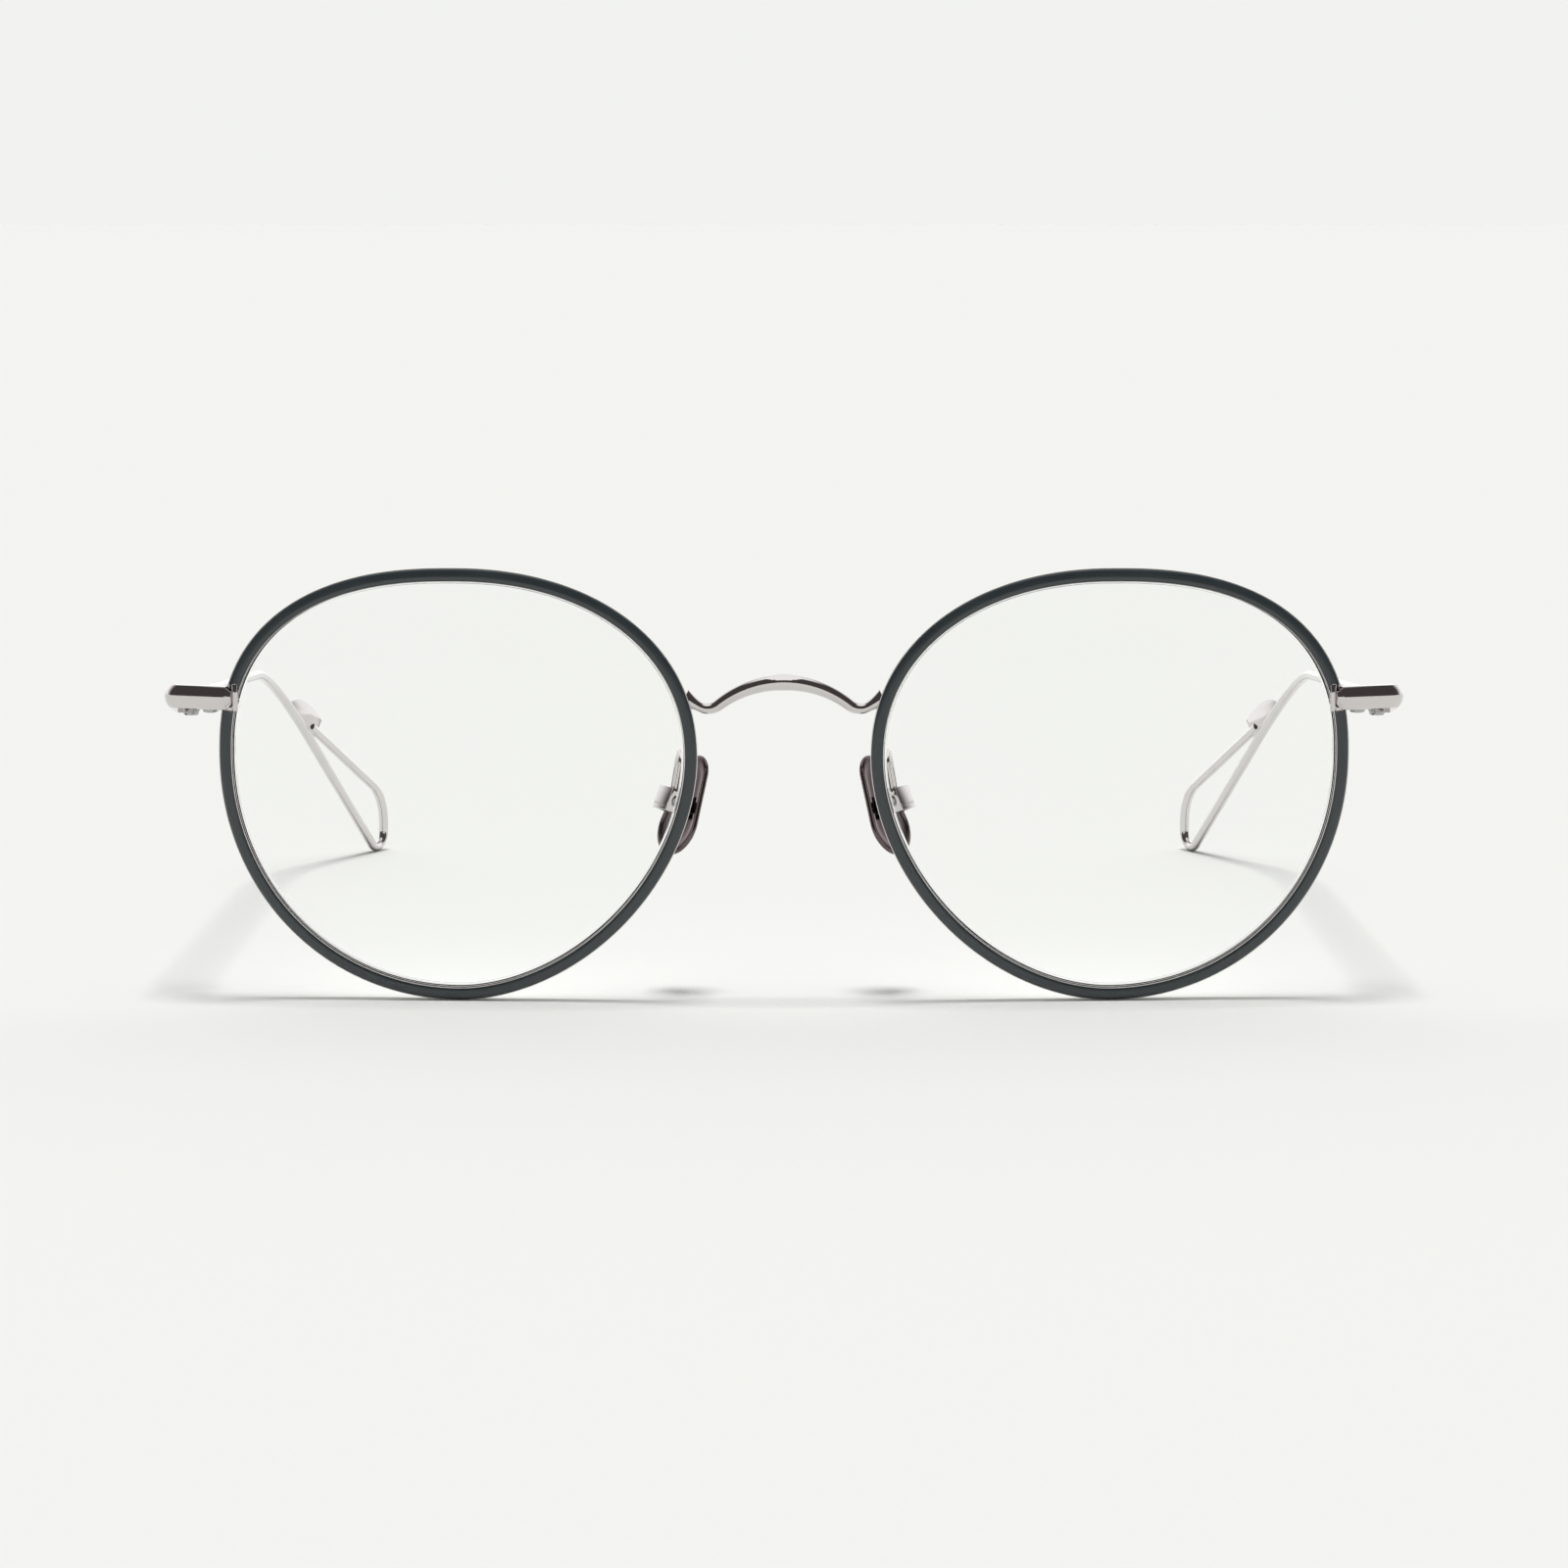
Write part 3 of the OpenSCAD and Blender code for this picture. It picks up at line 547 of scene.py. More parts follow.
def slate_lacquer():
    """Baked lacquer over metal: a dark body with a thin clear gloss, drifts of tone a few
    millimetres long where it pooled, and faint orange peel 0.8 mm across."""
    drift_w, peel_w = 6 * MM, 0.8 * MM
    material, tree, shader = new_material("slate_lacquer_baked")
    place = add_node(tree, "ShaderNodeTexCoord", {}, {})
    drift = add_node(
        tree, "ShaderNodeTexNoise", {},
        {"Vector": place.outputs["Object"], "Scale": 1 / drift_w, "Detail": 3.0},
    )
    peel = add_node(
        tree, "ShaderNodeTexNoise", {},
        {"Vector": place.outputs["Object"], "Scale": 1 / peel_w, "Detail": 1.0},
    )
    colour = add_node(
        tree, "ShaderNodeMix", {"data_type": "RGBA"},
        {"Factor": drift.outputs["Fac"], "A": srgb("32393E"), "B": srgb("3A4447")},
    )
    gloss = add_node(
        tree, "ShaderNodeMapRange", {},
        {"Value": drift.outputs["Fac"], "From Min": 0.3, "From Max": 0.7,
         "To Min": 0.26, "To Max": 0.4},
    )
    relief = add_node(
        tree, "ShaderNodeBump", {},
        {"Height": peel.outputs["Fac"], "Strength": 0.15, "Distance": 0.01 * MM},
    )
    feed(tree, shader, {
        "Base Color": colour.outputs["Result"],
        "Roughness": gloss.outputs["Result"],
        "Normal": relief.outputs["Normal"],
        "Coat Weight": 0.35,
        "Coat Roughness": 0.12,
    })
    return material


slate = slate_lacquer()
across = np.linspace(0, 1, 21)
inlay_front = np.stack([
    -inlay_crown * (1 - np.abs(2 * across - 1) ** crown_power),
    lip_w + inlay_relief + (eyewire_w - 2 * (lip_w + inlay_relief)) * across,
], -1)
inlay_floor = channel_d - inlay_relief
inlay_back = [(inlay_floor, inlay_front[-1][1]), (inlay_floor, inlay_front[0][1])]
inlay_section = np.concatenate([inlay_front, inlay_back])
inlay_first = crossing(endpiece_z + inlay_gap_h / 2)
inlay_last = crossing(endpiece_z - inlay_gap_h / 2) + 360
for side, hand in SIDES:
    inlay = rim_sweep(
        side + "_rim_inlay_lacquer", hand, inlay_first, inlay_last, inlay_section, slate
    )
    smooth(inlay, 50)
    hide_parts(side + "_rim_inlay")
    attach(inlay, "front")

# ---------------- lenses
# Clear resin lenses cast on the base curve, ground to the outline with a narrow bevel that snaps
# into the groove, polished and coated on both faces so that they hardly mirror anything.
lens_t, bevel_t, lens_gap, bevel_reach = 1.2, 0.3, 0.15, 0.2
lens_rings, lens_turns = 20, 240

# Optical resin is clear with the faintest green drift. Its coating cuts the reflection to about
# a tenth, and light goes through it to the table.
resin, tree, shader = new_material("optical_resin_clear_coated")
place = add_node(tree, "ShaderNodeTexCoord", {}, {})
film = add_node(
    tree, "ShaderNodeTexNoise", {}, {"Vector": place.outputs["Object"], "Scale": 1 / (30 * MM)}
)
clear = add_node(
    tree, "ShaderNodeMix", {"data_type": "RGBA"},
    {"Factor": film.outputs["Fac"], "A": srgb("FDFEFD"), "B": srgb("FEFEFE")},
)
feed(tree, shader, {
    "Base Color": clear.outputs["Result"],
    "Transmission Weight": 1.0,
    "Roughness": 0.0,
    "IOR": 1.5,
    "Specular Tint": srgb("5A5A5A"),
})
ray = add_node(tree, "ShaderNodeLightPath", {}, {})
lets_light = add_node(tree, "ShaderNodeBsdfTransparent", {}, {"Color": srgb("FFFFFF")})
both = add_node(
    tree, "ShaderNodeMixShader", {},
    {0: ray.outputs["Is Shadow Ray"], 1: shader.outputs["BSDF"], 2: lets_light.outputs["BSDF"]},
)
tree.links.new(both.outputs["Shader"], tree.nodes["Material Output"].inputs["Surface"])


def grid_faces(rows, columns):
    """Faces between rings of points that close on themselves, numbered ring by ring."""
    return [
        (i * columns + j, i * columns + k, (i + 1) * columns + k, (i + 1) * columns + j)
        for i in range(rows - 1)
        for j, k in zip(range(columns), [*range(1, columns), 0])
    ]


def outward(points, faces):
    """The same faces, turned round as a set if they enclose a negative volume."""
    points = np.asarray(points)
    volume = 0.0
    for face in faces:
        for b, c in zip(face[1:-1], face[2:]):
            volume += points[face[0]] @ np.cross(points[b], points[c])
    return faces if volume > 0 else [face[::-1] for face in faces]


def shell(name, rings, material, poles=None, hand=1):
    """A closed skin through rings of points, ended by a point each or else by flat caps."""
    columns = len(rings[0])
    points = np.concatenate(rings)
    faces = grid_faces(len(rings), columns)
    last = (len(rings) - 1) * columns
    if poles is None:
        faces += [tuple(range(columns))[::-1], tuple(range(last, last + columns))]
    else:
        points = np.concatenate([points, np.array(poles)])
        first, end = len(points) - 2, len(points) - 1
        for j in range(columns):
            k = (j + 1) % columns
            faces += [(first, k, j), (end, last + j, last + k)]
    points = mirrored(points, hand)
    return mesh_object(name, points, outward(points, faces), material)


turns = np.linspace(0, 360, lens_turns, endpoint=False)
face_point, face_normal = outline(turns)
lens_edge = face_point - (eyewire_w + lens_gap) * face_normal
bevel_edge = face_point - (eyewire_w - bevel_reach) * face_normal
front_depth, back_depth = groove_mid - lens_t / 2, groove_mid + lens_t / 2
middle = np.array([0, rim_mid_z])
shares = np.linspace(1 / lens_rings, 1, lens_rings)
lens_rows = [on_curve(middle + t * (lens_edge - middle), front_depth) for t in shares]
lens_rows += [
    on_curve(lens_edge, groove_mid - bevel_t / 2),
    on_curve(bevel_edge, groove_mid - bevel_t / 4),
    on_curve(bevel_edge, groove_mid + bevel_t / 4),
    on_curve(lens_edge, groove_mid + bevel_t / 2),
]
lens_rows += [on_curve(middle + t * (lens_edge - middle), back_depth) for t in shares[::-1]]
lens_rows = [in_front(in_rim(row)) for row in lens_rows]
lens_poles = [in_front(in_rim(on_curve(middle, d))) for d in (front_depth, back_depth)]
for side, hand in SIDES:
    lens = shell(side + "_lens_ground", lens_rows, resin, lens_poles, hand)
    smooth(lens, 40)
    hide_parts(side + "_lens")
    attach(lens, "front")

# ---------------- bridge
# One bar, forged thick in the middle and thin at its feet, bent to an arch with a small dip
# beside each rim, silver-soldered to the rims, and ground to a small flat on its crest.
bridge_z, bridge_arch_r, bridge_slope, bridge_dip_r = 8.2, 11.5, 38.0, 1.9
bridge_bar_h, bridge_foot_h, bridge_bar_d = 1.8, 1.15, 1.5
foot_angle, foot_l, foot_flare = 28.0, 1.9, 1.1
arch_taper, flare_power = 0.7, 1.5
flat_tilt, flat_depth = 50.0, 0.14
bar_sides, arch_steps, dip_steps, foot_steps = 48, 60, 24, 8
bridge_y = in_rim(rim_point(180, 0, eyewire_d / 2))[1]

# Stations of half the bridge, from the crest out to one foot: place, slope and height of the bar
stations = []
for i in range(arch_steps + 1):
    share = i / arch_steps
    a = bridge_slope * share
    height = bridge_bar_h + (bridge_foot_h - bridge_bar_h) * arch_taper * share
    stations.append(
        (bridge_arch_r * math.sin(deg(a)), bridge_arch_r * (math.cos(deg(a)) - 1), -a, height)
    )
dip_x, dip_z = stations[-1][:2]
for i in range(1, dip_steps + 1):
    share = i / dip_steps
    a = -bridge_slope + (bridge_slope + foot_angle) * share
    height = bridge_bar_h + (bridge_foot_h - bridge_bar_h) * (
        arch_taper + (1 - arch_taper) * share
    )
    stations.append(
        (
            dip_x + bridge_dip_r * (math.sin(deg(a)) + math.sin(deg(bridge_slope))),
            dip_z + bridge_dip_r * (math.cos(deg(bridge_slope)) - math.cos(deg(a))),
            a,
            height,
        )
    )
foot_x, foot_z = stations[-1][:2]
for i in range(1, foot_steps + 1):
    share = i / foot_steps
    stations.append(
        (
            foot_x + foot_l * share * math.cos(deg(foot_angle)),
            foot_z + foot_l * share * math.sin(deg(foot_angle)),
            foot_angle,
            bridge_foot_h + foot_flare * share**flare_power,
        )
    )
flat_way = np.array([0, -math.cos(deg(flat_tilt)), math.sin(deg(flat_tilt))])
crest = np.array([0, bridge_y, bridge_z])
half_h, half_d = bridge_bar_h / 2, bridge_bar_d / 2
flat_reach = math.hypot(half_h * flat_way[2], half_d * flat_way[1]) - flat_depth
turns = 2 * math.pi * np.arange(bar_sides) / bar_sides


def bar_section_at(x, z, slope, height, hand):
    """The oval section of the bar at a station, cut back to the flat where it stands past it."""
    up, back = height / 2 * np.sin(turns), half_d * np.cos(turns)
    ring = np.stack([
        hand * (x - up * math.sin(deg(slope))),
        bridge_y + back,
        bridge_z + z + up * math.cos(deg(slope)),
    ], -1)
    over = np.maximum((ring - crest) @ flat_way - flat_reach, 0)
    return in_front(ring - over[:, None] * flat_way)


rings = [bar_section_at(*s, -1) for s in stations[:0:-1]]
rings += [bar_section_at(*s, 1) for s in stations]
bridge = shell("bridge_forged", rings, palladium)
smooth(bridge, 14)
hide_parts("bridge")
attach(bridge, "front")

# ---------------- end pieces
# A crowned bar is soldered across each rim, mitred where it meets the rim's face, and bent back
# to carry the hinge. An upright bead of the same metal caps its inner end over the split.
crown_drop = 0.5
crown_r = (endpiece_h**2 / 4 + crown_drop**2) / (2 * crown_drop)
crown_half = math.degrees(math.asin(endpiece_h / 2 / crown_r))
edge_ease = 0.14
mitre_l, mitre_share = 0.55, 0.5
inner_reach = 0.95
bead_r, bead_h, bead_x, bead_y = 0.34, 3.0, -1.2, 0.12


def crowned_outline():
    """The bar's section as (outward, up), anticlockwise from its lower inner corner."""
    crown = [
        (endpiece_t - crown_r + crown_r * math.cos(deg(a)), crown_r * math.sin(deg(a)), 0)
        for a in np.linspace(-crown_half, crown_half, 17)
    ]
    return rounded([(0, -endpiece_h / 2, edge_ease), *crown, (0, endpiece_h / 2, edge_ease)])


def unit(v):
    """A direction brought to unit length."""
    v = np.asarray(v, float)
    return v / np.linalg.norm(v)


def wire_route(corners, bends, step):
    """Stops (place, direction) along straight runs with a round bend at each inner corner."""
    corners = [np.asarray(c, float) for c in corners]
    runs = [unit(b - a) for a, b in zip(corners, corners[1:])]
    stops = [(corners[0], runs[0])]
    for corner, before, after, bend in zip(corners[1:-1], runs, runs[1:], bends):
        angle = math.acos(before @ after)
        start = corner - bend * math.tan(angle / 2) * before
        inward = unit(after - math.cos(angle) * before)
        for a in np.linspace(0, angle, max(2, math.ceil(math.degrees(angle) / step)) + 1):
            stops.append((
                start + bend * (math.sin(a) * before + (1 - math.cos(a)) * inward),
                math.cos(a) * before + math.sin(a) * inward,
            ))
    stops.append((corners[-1], runs[-1]))
    return stops


out_along = np.array([edge_cos, edge_sin, 0])
corner_l = endpiece_run + endpiece_turn_r * math.tan(deg((90 - edge_turn) / 2))
endpiece_corner = edge_point + corner_l * out_along
endpiece_rear = np.array([inner_x, *pin_in_front[1:]])
endpiece_stops = wire_route(
    [
        edge_point - inner_reach * out_along,
        endpiece_corner,
        endpiece_rear + endpiece_h / 4 * unit(endpiece_rear - endpiece_corner),
    ],
    [endpiece_turn_r],
    3,
)
crowned = crowned_outline()


def at_pin(p):
    """From the hinge pin's frame, y back along the temple, to the part's frame."""
    return in_front(pin_in_front + turned(X, p, -front_lean - temple_drop))


def bar_ring(stop, share):
    """The bar's section at a stop, drawn at a share of its size and kept upright."""
    place, way = stop
    out, up = share * crowned.T
    return place + np.outer(out, unit(np.cross(way, [0, 0, 1]))) + np.outer(up, [0, 0, 1])


# The first three rings make the mitre that meets the rim's face
start, start_way = endpiece_stops[0]
bar_rings = [
    bar_ring((start, start_way), mitre_share),
    bar_ring((start + 0.97 * mitre_l * start_way, start_way), 0.985),
    bar_ring((start + 1.1 * mitre_l * start_way, start_way), 1.0),
]
bar_rings += [bar_ring(stop, 1.0) for stop in endpiece_stops[1:-1]]
# The last ring lies in the plane that is square to the temple
end_place, end_way = endpiece_stops[-1]
square = unit(turned(X, [0, 1, 0], -front_lean - temple_drop))
last = bar_ring((end_place, end_way), 1.0)
meet = pin_in_front - knuckle_gap / 2 * square
last = last - np.outer(((last - meet) @ square) / (end_way @ square), end_way)
bar_rings.append(last - edge_ease / 2 * end_way)
bar_rings.append(last.mean(0) + (last - last.mean(0)) * (1 - edge_ease / 2))
bar_rings = [in_front(r) for r in bar_rings]


def at_edge(p):
    """From the frame of the rim's outer edge at hinge height, x outward, to the part's frame."""
    return in_front(edge_point + turned(Z, p, edge_turn))


bead_turns = 2 * math.pi * np.arange(32) / 32
bead_rows = [
    at_edge(
        np.stack([
            bead_x + r * np.cos(bead_turns),
            bead_y + r * np.sin(bead_turns),
            0 * bead_turns + z,
        ], -1)
    )
    for z, r in (
        (-bead_h / 2, 0.72 * bead_r), (-bead_h / 2 + 0.05, 0.9 * bead_r),
        (-bead_h / 2 + 0.12, bead_r), (bead_h / 2 - 0.12, bead_r),
        (bead_h / 2 - 0.05, 0.9 * bead_r), (bead_h / 2, 0.72 * bead_r),
    )
]
for side, hand in SIDES:
    endpiece = shell(side + "_endpiece_crowned", bar_rings, palladium, None, hand)
    smooth(endpiece, 25)
    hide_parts(side + "_endpiece")
    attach(endpiece, "front")
    bead = shell(side + "_endpiece_bead", bead_rows, palladium, None, hand)
    smooth(bead, 30)
    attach(bead, "front")

# ---------------- small machined parts
# Rim locks, hinge leaves and knuckles, temple butts and pad boxes are milled, then barrelled,
# which leaves flat faces, true bores and slightly eased edges. The hinges are plated and left
# satin, and the rest is buffed like the rims.

# Plate as it comes from the barrel: greyer, softer, and with no direction to its hairlines
satin = polished_metal(
    "palladium_plate_barrelled", ("A19E9F", "ACA9A9"), (0.16, 0.26), (1, 1, 1)
)
weld_reach = 0.002 * MM
flat_within = deg(0.5)
milled_corner = 30


def eased_copy(node, name, material, ease):
    """A copy of a machined part with its coplanar triangles joined and its edges eased."""
    work = bmesh.new()
    work.from_mesh(frame["nodes"][node].data)
    bmesh.ops.remove_doubles(work, verts=work.verts, dist=weld_reach)
    bmesh.ops.dissolve_limit(
        work, angle_limit=flat_within, verts=work.verts, edges=work.edges, delimit={"NORMAL"}
    )
    mesh = bpy.data.meshes.new(name)
    work.to_mesh(mesh)
    work.free()
    mesh.materials.clear()
    mesh.materials.append(material)
    made = put_in_scene(name, mesh)
    bevel = made.modifiers.new("ease", "BEVEL")
    bevel.width = ease * MM
    bevel.segments = 2
    bevel.limit_method = "ANGLE"
    bevel.angle_limit = deg(milled_corner)
    bevel.use_clamp_overlap = True
    eased = finished_mesh(made)
    made.modifiers.clear()
    made.data = eased
    smooth(made, milled_corner)
    return made


for side, _ in SIDES:
    for part, material, slot, body, ease in (
        ("lock_upper", palladium, "polished_metal", "front", 0.06),
        ("lock_lower", palladium, "polished_metal", "front", 0.06),
        ("front_hinge", satin, "satin_metal", "front", 0.03),
        ("temple_hinge", satin, "satin_metal", side + "_temple", 0.03),
        ("temple_butt", palladium, "polished_metal", side + "_temple", 0.08),
        ("pad_box", palladium, "polished_metal", "front", 0.14),
    ):
        node = side + "_" + part
        piece = eased_copy(node, node + "_eased", material, ease)
        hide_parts(node)
        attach(piece, body)

# ---------------- screws
# Six turned steel screws hold the front together: one closes each rim lock, one pins each hinge
# and one carries each nose pad. Each has a low domed head with a sawn slot.
lock_w, lock_d, lock_lower_h, lock_upper_h = 3.2, 2.3, 1.45, 0.9
hinge_h = 2.5
pad_x, pad_y, pad_below = 12.5, 8.4, 5.7
pad_lean, pad_splay = 23.0, 36.0
box_d = 2.6
slot_w, slot_share = 0.25, 0.5
screw_sides = 32
lock_screw_in, lock_screw_back = 1.2, 0.1
# Shank radius, head radius and head height of the two sizes of screw
big_screw, small_screw = (0.5, 0.85, 0.45), (0.35, 0.6, 0.35)


def turned_steel():
    """Steel cut on a lathe: a grain 0.12 mm across and a cooler, darker grey than the plate."""
    grain_w = 0.12 * MM
    material, tree, shader = new_material("steel_turned")
    place = add_node(tree, "ShaderNodeTexCoord", {}, {})
    grain = add_node(
        tree, "ShaderNodeTexNoise", {},
        {"Vector": place.outputs["Object"], "Scale": 1 / grain_w, "Detail": 2.0},
    )
    colour = add_node(
        tree, "ShaderNodeMix", {"data_type": "RGBA"},
        {"Factor": grain.outputs["Fac"], "A": srgb("A6A5A8"), "B": srgb("B8B7B9")},
    )
    gloss = add_node(
        tree, "ShaderNodeMapRange", {},
        {"Value": grain.outputs["Fac"], "To Min": 0.15, "To Max": 0.35},
    )
    feed(tree, shader, {
        "Base Color": colour.outputs["Result"],
        "Roughness": gloss.outputs["Result"],
        "Metallic": 1.0,
    })
    return material


steel = turned_steel()


def slotted_screw(name, shank_l, shank_r, head_r, head_h):
    """A screw with its shank along +z from z = 0 and its head below, its slot along x."""
    rows = [
        (-head_h, 0.72 * head_r), (-0.92 * head_h, 0.86 * head_r), (-0.75 * head_h, 0.95 * head_r),
        (-0.5 * head_h, head_r), (0, head_r), (0, shank_r), (shank_l - 0.04, shank_r),
        (shank_l, shank_r - 0.04),
    ]
    a = 2 * math.pi * np.arange(screw_sides) / screw_sides
    rings = [np.stack([r * np.cos(a), r * np.sin(a), 0 * a + z], -1) for z, r in rows]
    screw = shell(name, rings, steel)
    x, y, z = head_r * 1.2, slot_w / 2, -head_h * 1.2
    floor = -head_h * (1 - slot_share)
    box_rows = [
        [(-x, -y, z), (x, -y, z), (x, y, z), (-x, y, z)],
        [(-x, -y, floor), (x, -y, floor), (x, y, floor), (-x, y, floor)],
    ]
    cutter = shell(name + ".slot", box_rows, steel)
    cut = screw.modifiers.new("slot", "BOOLEAN")
    cut.operation = "DIFFERENCE"
    cut.solver = "EXACT"
    cut.object = cutter
    mesh = finished_mesh(screw)
    screw.modifiers.clear()
    screw.data = mesh
    bpy.data.objects.remove(cutter)
    smooth(screw, 35)
    return screw


# Puts a screw at every point, aimed so that its shank follows the point's direction
placing, given, facing = tree_start(
    "place screws", {"Places": "Geometry", "Screw": "Object", "Slot turn": "Float"}
)
aim = add_node(
    placing, "FunctionNodeAlignRotationToVector", {"axis": "Z"},
    {"Vector": facing.outputs["Attribute"]},
)
spin = add_node(placing, "ShaderNodeCombineXYZ", {}, {"Z": given.outputs["Slot turn"]})
aimed = add_node(
    placing, "FunctionNodeRotateRotation", {"rotation_space": "LOCAL"},
    {"Rotation": aim.outputs["Rotation"], "Rotate By": spin.outputs["Vector"]},
)
shape = add_node(placing, "GeometryNodeObjectInfo", {}, {"Object": given.outputs["Screw"]})
put = add_node(
    placing, "GeometryNodeInstanceOnPoints", {},
    {
        "Points": given.outputs["Places"],
        "Instance": shape.outputs["Geometry"],
        "Rotation": aimed.outputs["Rotation"],
    },
)
tree_end(placing, given, put.outputs["Instances"])


def at_pad(p):
    """From the pad screw's frame, x away from the nose and z along the pad, to the part's."""
    return in_front(turned(Z, turned(Y, p, -pad_lean), -pad_splay) + [pad_x, pad_y, -pad_below])


lock_seat = [lock_w - lock_screw_in, lock_d / 2 + lock_screw_back, -lock_lower_h]
lock_screw_l = lock_lower_h + lock_upper_h
up, back = [0, 0, 1], [0, 1, 0]
for kind, shank_l, size, place_at, seat, way, slot_turn in (
    ("lock_screw", lock_screw_l, big_screw, at_edge, lock_seat, up, 0.5),
    ("hinge_screw", hinge_h, big_screw, at_pin, [0, 0, -hinge_h / 2], up, 0.9),
    ("pad_screw", box_d, small_screw, at_pad, [0, -box_d / 2, 0], back, 0.2),
):
    seat = np.asarray(seat, float)
    base, tip = place_at(seat), place_at(seat + way)
    screw = slotted_screw(kind, shank_l, *size)
    points = [mirrored(base, hand) for _, hand in SIDES]
    source = line_mesh(kind + "s", points, False)
    face_along(source, [mirrored(tip - base, hand) for _, hand in SIDES])
    screws = made_by(placing, source, {"Screw": screw, "Slot turn": slot_turn, "Finish": steel})
    bpy.data.objects.remove(screw)
    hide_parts(*[side + "_" + kind for side, _ in SIDES])
    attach(screws, "front")

# ---------------- temple wires
# Each temple is one length of round spring wire, plated after bending. It leaves the ferrule,
# drops and turns in a little, bends behind the ear, and doubles back on itself in a long open
# loop whose end is soldered to the falling leg.
temple_wire_r, temple_straight = 0.6, 95.7
temple_toe_in, bend_r, tip_drop, tip_inward = 0.8, 34.0, 44.0, 25.0
tip_turn_r, tip_shoulder_r, tip_shoulder_h = 1.95, 6.0, 6.6
tip_return, tip_return_l = 30.0, 22.0
butt_l, wire_clear = 4.2, 0.2
wire_sides = 28


def heading(inward, down):
    """The direction that runs back, turned inward and down by angles in degrees."""
    return np.array(
        [
            -math.sin(deg(inward)) * math.cos(deg(down)),
            math.cos(deg(inward)) * math.cos(deg(down)),
            -math.sin(deg(down)),
        ]
    )


wire_x = knuckle_r + knuckle_gap + endpiece_t / 2
along_temple, along_tip = heading(temple_toe_in, temple_drop), heading(tip_inward, tip_drop)
tip_back = heading(tip_inward, 0)
wire_start = np.array([wire_x, 0, 0]) + (butt_l + wire_clear) * along_temple
bend_corner = np.array([wire_x, 0, 0]) + temple_straight * along_temple
# The height of the low turn's corner above the hinge pin, with its wire resting on the table
turn_z_low = (
    temple_wire_r + tip_turn_r - tip_turn_r * math.tan(deg((90 + tip_drop) / 2)) - pin[2]
)
turn_corner = bend_corner + (bend_corner[2] - turn_z_low) / math.sin(deg(tip_drop)) * along_tip
shoulder_corner = np.array(
    [turn_corner[0], turn_corner[1], temple_wire_r + tip_shoulder_h - pin[2]]
)
loop_end = shoulder_corner + tip_return_l * (
    -math.cos(deg(tip_return)) * tip_back + math.sin(deg(tip_return)) * np.array([0, 0, 1])
)


def round_wire(name, stops, across, radius, sides, hand, material):
    """A round wire through stops, none of which run along the vector across."""
    path = mirrored([s[0] for s in stops], hand)
    ways = mirrored([unit(np.cross(across, s[1])) for s in stops], hand)
    a = 2 * math.pi * np.arange(sides) / sides
    section = np.stack([radius * np.cos(a), radius * np.sin(a)], -1)
    made = swept_piece(name, path, ways, section, material)
    smooth(made, 50)
    return made


# Plate over drawn wire: the die leaves hairlines along the wire, which spread each highlight
drawn = polished_metal(
    "palladium_plate_on_drawn_wire", ("D6D3D2", "DEDBDA"), (0.08, 0.16), (1, 0.08, 1)
)
stops = wire_route(
    [wire_start, bend_corner, turn_corner, shoulder_corner, loop_end],
    [bend_r, tip_turn_r, tip_shoulder_r],
    1.5,
)
stops = [(pin + place, way) for place, way in stops]
for side, hand in SIDES:
    wire = round_wire(
        side + "_temple_wire_drawn", stops, np.cross(tip_back, [0, 0, 1]),
        temple_wire_r, wire_sides, hand, drawn,
    )
    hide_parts(side + "_temple_wire")
    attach(wire, side + "_temple")

# ---------------- loop plates
# A thin D-shaped plate closes the upper end of each loop. It is stamped, soldered along the
# falling leg and the end of the returning leg, and buffed with its edge rounded over.
plate_l, plate_h, plate_t = 7.6, 3.4, 0.8
plate_seat = 0.95
ease = 0.16
plate_centre = 0.4
plate_low = turn_corner - plate_seat * np.linalg.norm(turn_corner - loop_end) * along_tip
plate_up = unit(np.cross(np.cross(along_tip, tip_back), along_tip))
plate_across = unit(np.cross(-along_tip, plate_up))
arc = deg(np.linspace(0, 90, 33))
plate_outline = np.concatenate(
    [[(0, 0)], np.stack([plate_l * np.sin(arc), plate_h * np.cos(arc)], -1)]
)
centre = plate_centre * np.array([plate_l, plate_h])


def plate_ring(inset, height):
    """The plate's outline drawn in by inset, at a height above its middle plane."""
    away = plate_outline - centre
    flat = centre + away * (1 - inset / np.linalg.norm(away, axis=1)[:, None])
    return pin + (
        plate_low
        + np.outer(flat[:, 0], -along_tip)
        + np.outer(flat[:, 1], plate_up)
        + height * plate_across
    )


plate_rings = [
    plate_ring(inset, height)
    for inset, height in (
        (ease, -plate_t / 2), (0.3 * ease, -plate_t / 2 + 0.3 * ease), (0, -plate_t / 2 + ease),
        (0, plate_t / 2 - ease), (0.3 * ease, plate_t / 2 - 0.3 * ease), (ease, plate_t / 2),
    )
]
for side, hand in SIDES:
    plate = shell(side + "_loop_plate_stamped", plate_rings, palladium, None, hand)
    smooth(plate, 40)
    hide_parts(side + "_loop_plate")
    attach(plate, side + "_temple")

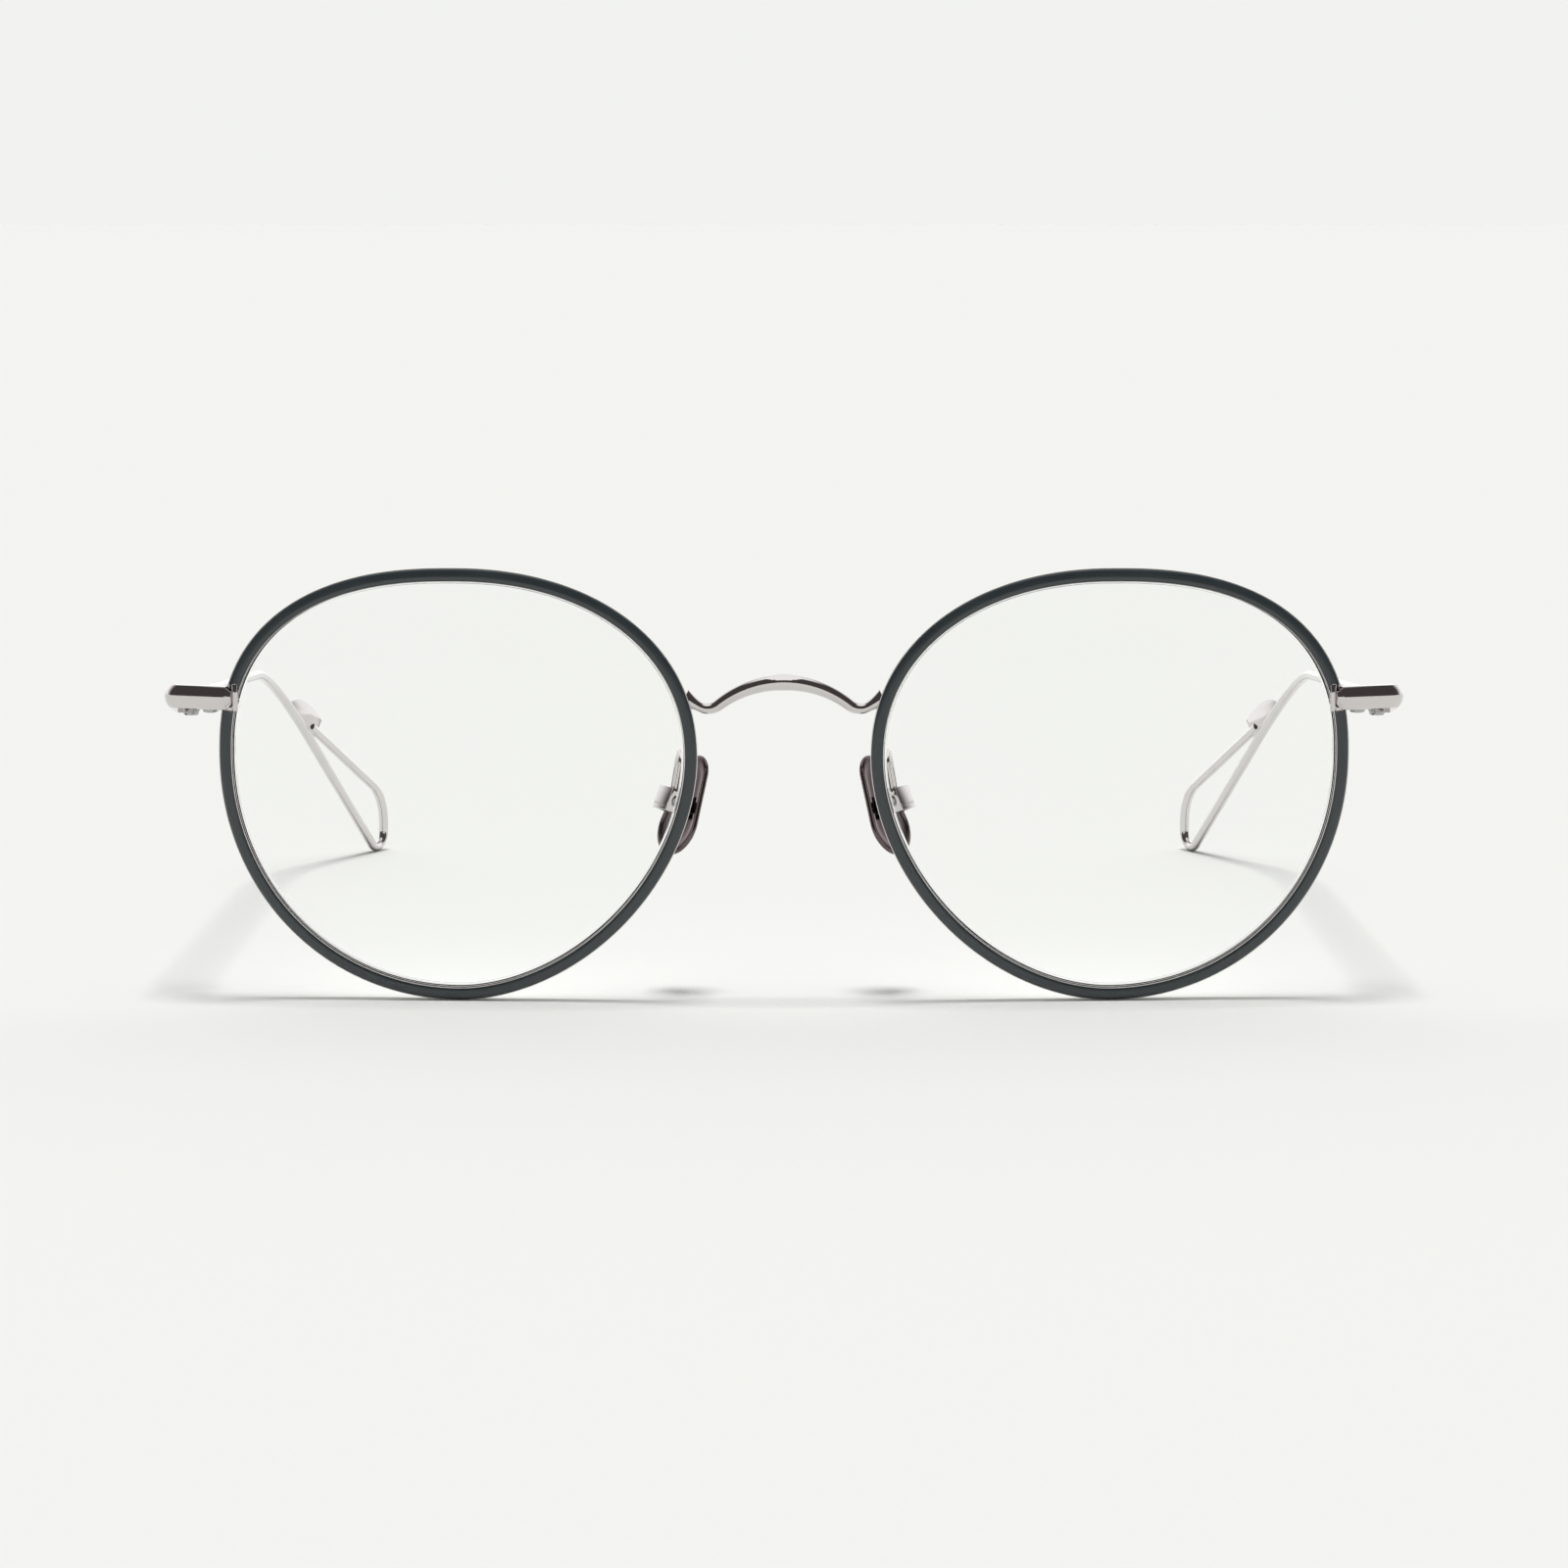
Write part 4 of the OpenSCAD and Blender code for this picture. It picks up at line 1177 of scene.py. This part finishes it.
# ---------------- pad arms
# A short round wire is soldered to the rear of each rim beside the nose. It rises behind the
# rim, turns over and drops to the top of the pad box.
pad_arm_r, arm_angle, arm_sides = 0.45, 182.5, 20
arm_top_bend, arm_fall_bend = 1.6, 1.8
box_half_h = 1.3
arm_rise = np.array([0.9, 3.0, 1.1])
arm_fall_in, arm_fall_back, arm_fall_z = 1.1, 0.6, -1.0
arm_foot = in_rim(rim_point(arm_angle, eyewire_w / 2, eyewire_d))
arm_start = arm_foot - eyewire_d / 4 * unit(arm_rise)
arm_fall = np.array([arm_foot[0] + arm_fall_in, pad_y + arm_fall_back, arm_fall_z])
box_up = turned(Z, [-math.sin(deg(pad_lean)), 0, math.cos(deg(pad_lean))], -pad_splay)
box_top = np.array([pad_x, pad_y, -pad_below]) + box_half_h * box_up
stops = wire_route(
    [arm_start, arm_foot + arm_rise, arm_fall, box_top], [arm_top_bend, arm_fall_bend], 3
)
stops = [(in_front(place), in_front_way(way)) for place, way in stops]
for side, hand in SIDES:
    arm = round_wire(
        side + "_pad_arm_bent", stops, [1, 0, 0], pad_arm_r, arm_sides, hand, palladium
    )
    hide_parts(side + "_pad_arm")
    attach(arm, "front")

# ---------------- nose pads
# Each pad is a teardrop of solid titanium, pressed so that it swells toward the nose and dishes
# a little behind with a rolled edge, then polished. A lug on its back rocks in the pad box.
pad_l, pad_w, pad_t = 11.5, 6.6, 1.7
pad_back, lug_t, lug_r = -1.3, 1.2, 0.65
lug_bore_r, lug_ease, lug_sink = 0.38, 0.06, 0.2
pad_turns, crest_drop = 72, 0.8
pad_middle = pad_back - pad_t / 2

# Bare titanium polished by hand: darker and browner than the plate, with the same soft patches
titanium = polished_metal(
    "titanium_warm_polished", ("655A5B", "716566"), (0.06, 0.14), (1, 1, 0.3)
)

lower_r, upper_r = pad_w / 2, pad_w / 3
lower_z, upper_z = -pad_l / 2 + lower_r, pad_l / 2 - upper_r
lean = math.asin((lower_r - upper_r) / (upper_z - lower_z))
around = np.linspace(0, 2 * math.pi, pad_turns, endpoint=False)
on_top = np.sin(around) > math.sin(lean)
pad_outline = np.stack([
    np.where(on_top, upper_r, lower_r) * np.cos(around),
    np.where(on_top, upper_z, lower_z) + np.where(on_top, upper_r, lower_r) * np.sin(around),
], -1)
pad_centre = np.array([0, (upper_z + lower_z) / 2 - crest_drop])


def pad_row(share, x):
    """The pad's outline drawn in toward its crest, at a place through the thickness."""
    flat = pad_centre + share * (pad_outline - pad_centre)
    return at_pad(np.stack([0 * flat[:, 0] + x, flat[:, 0], flat[:, 1]], -1))


half_t = pad_t / 2
# From the crest that faces the nose, over the rolled edge, to the dished back: the share of the
# outline, and the place through the thickness in halves of it
pad_profile = [
    (0.15, -0.995), (0.3, -0.975), (0.45, -0.93), (0.6, -0.85), (0.72, -0.74), (0.82, -0.6),
    (0.9, -0.43), (0.955, -0.26), (0.988, -0.1), (1.0, 0.06), (0.994, 0.2), (0.975, 0.31),
    (0.945, 0.38), (0.905, 0.4), (0.86, 0.36), (0.8, 0.28), (0.72, 0.24), (0.6, 0.24),
    (0.45, 0.26), (0.3, 0.28), (0.15, 0.29),
]
pad_rows = [pad_row(share, pad_middle + half_t * x) for share, x in pad_profile]
pad_poles = [
    at_pad(np.array([pad_middle + half_t * x, pad_centre[0], pad_centre[1]])) for x in (-1.0, 0.29)
]

lug_turns = 2 * math.pi * np.arange(48) / 48
lug_long = -pad_middle - lug_sink
with np.errstate(divide="ignore"):
    flank = lug_r / np.maximum(np.abs(np.sin(lug_turns)), 1e-6)
    end = lug_long / np.maximum(-np.cos(lug_turns), 1e-6)
lug_reach = np.where(np.cos(lug_turns) < 0, np.minimum(flank, end), lug_r)


def lug_ring(reach, y):
    """An outline of the lug about its bore, at a place along the pad screw."""
    return at_pad(
        np.stack([reach * np.cos(lug_turns), 0 * lug_turns + y, reach * np.sin(lug_turns)], -1)
    )


lug_rings = [
    lug_ring(lug_bore_r, -lug_t / 2),
    lug_ring(lug_reach - lug_ease, -lug_t / 2),
    lug_ring(lug_reach, -lug_t / 2 + lug_ease),
    lug_ring(lug_reach, lug_t / 2 - lug_ease),
    lug_ring(lug_reach - lug_ease, lug_t / 2),
    lug_ring(lug_bore_r, lug_t / 2),
]
for side, hand in SIDES:
    pad = shell(side + "_nose_pad_pressed", pad_rows, titanium, pad_poles, hand)
    smooth(pad, 60)
    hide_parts(side + "_nose_pad")
    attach(pad, side + "_pad")
    columns = len(lug_turns)
    count = columns * len(lug_rings)
    faces = [tuple(i % count for i in f) for f in grid_faces(len(lug_rings) + 1, columns)]
    points = mirrored(np.concatenate(lug_rings), hand)
    lug = mesh_object(side + "_nose_pad_lug", points, outward(points, faces), titanium)
    smooth(lug, 40)
    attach(lug, side + "_pad")
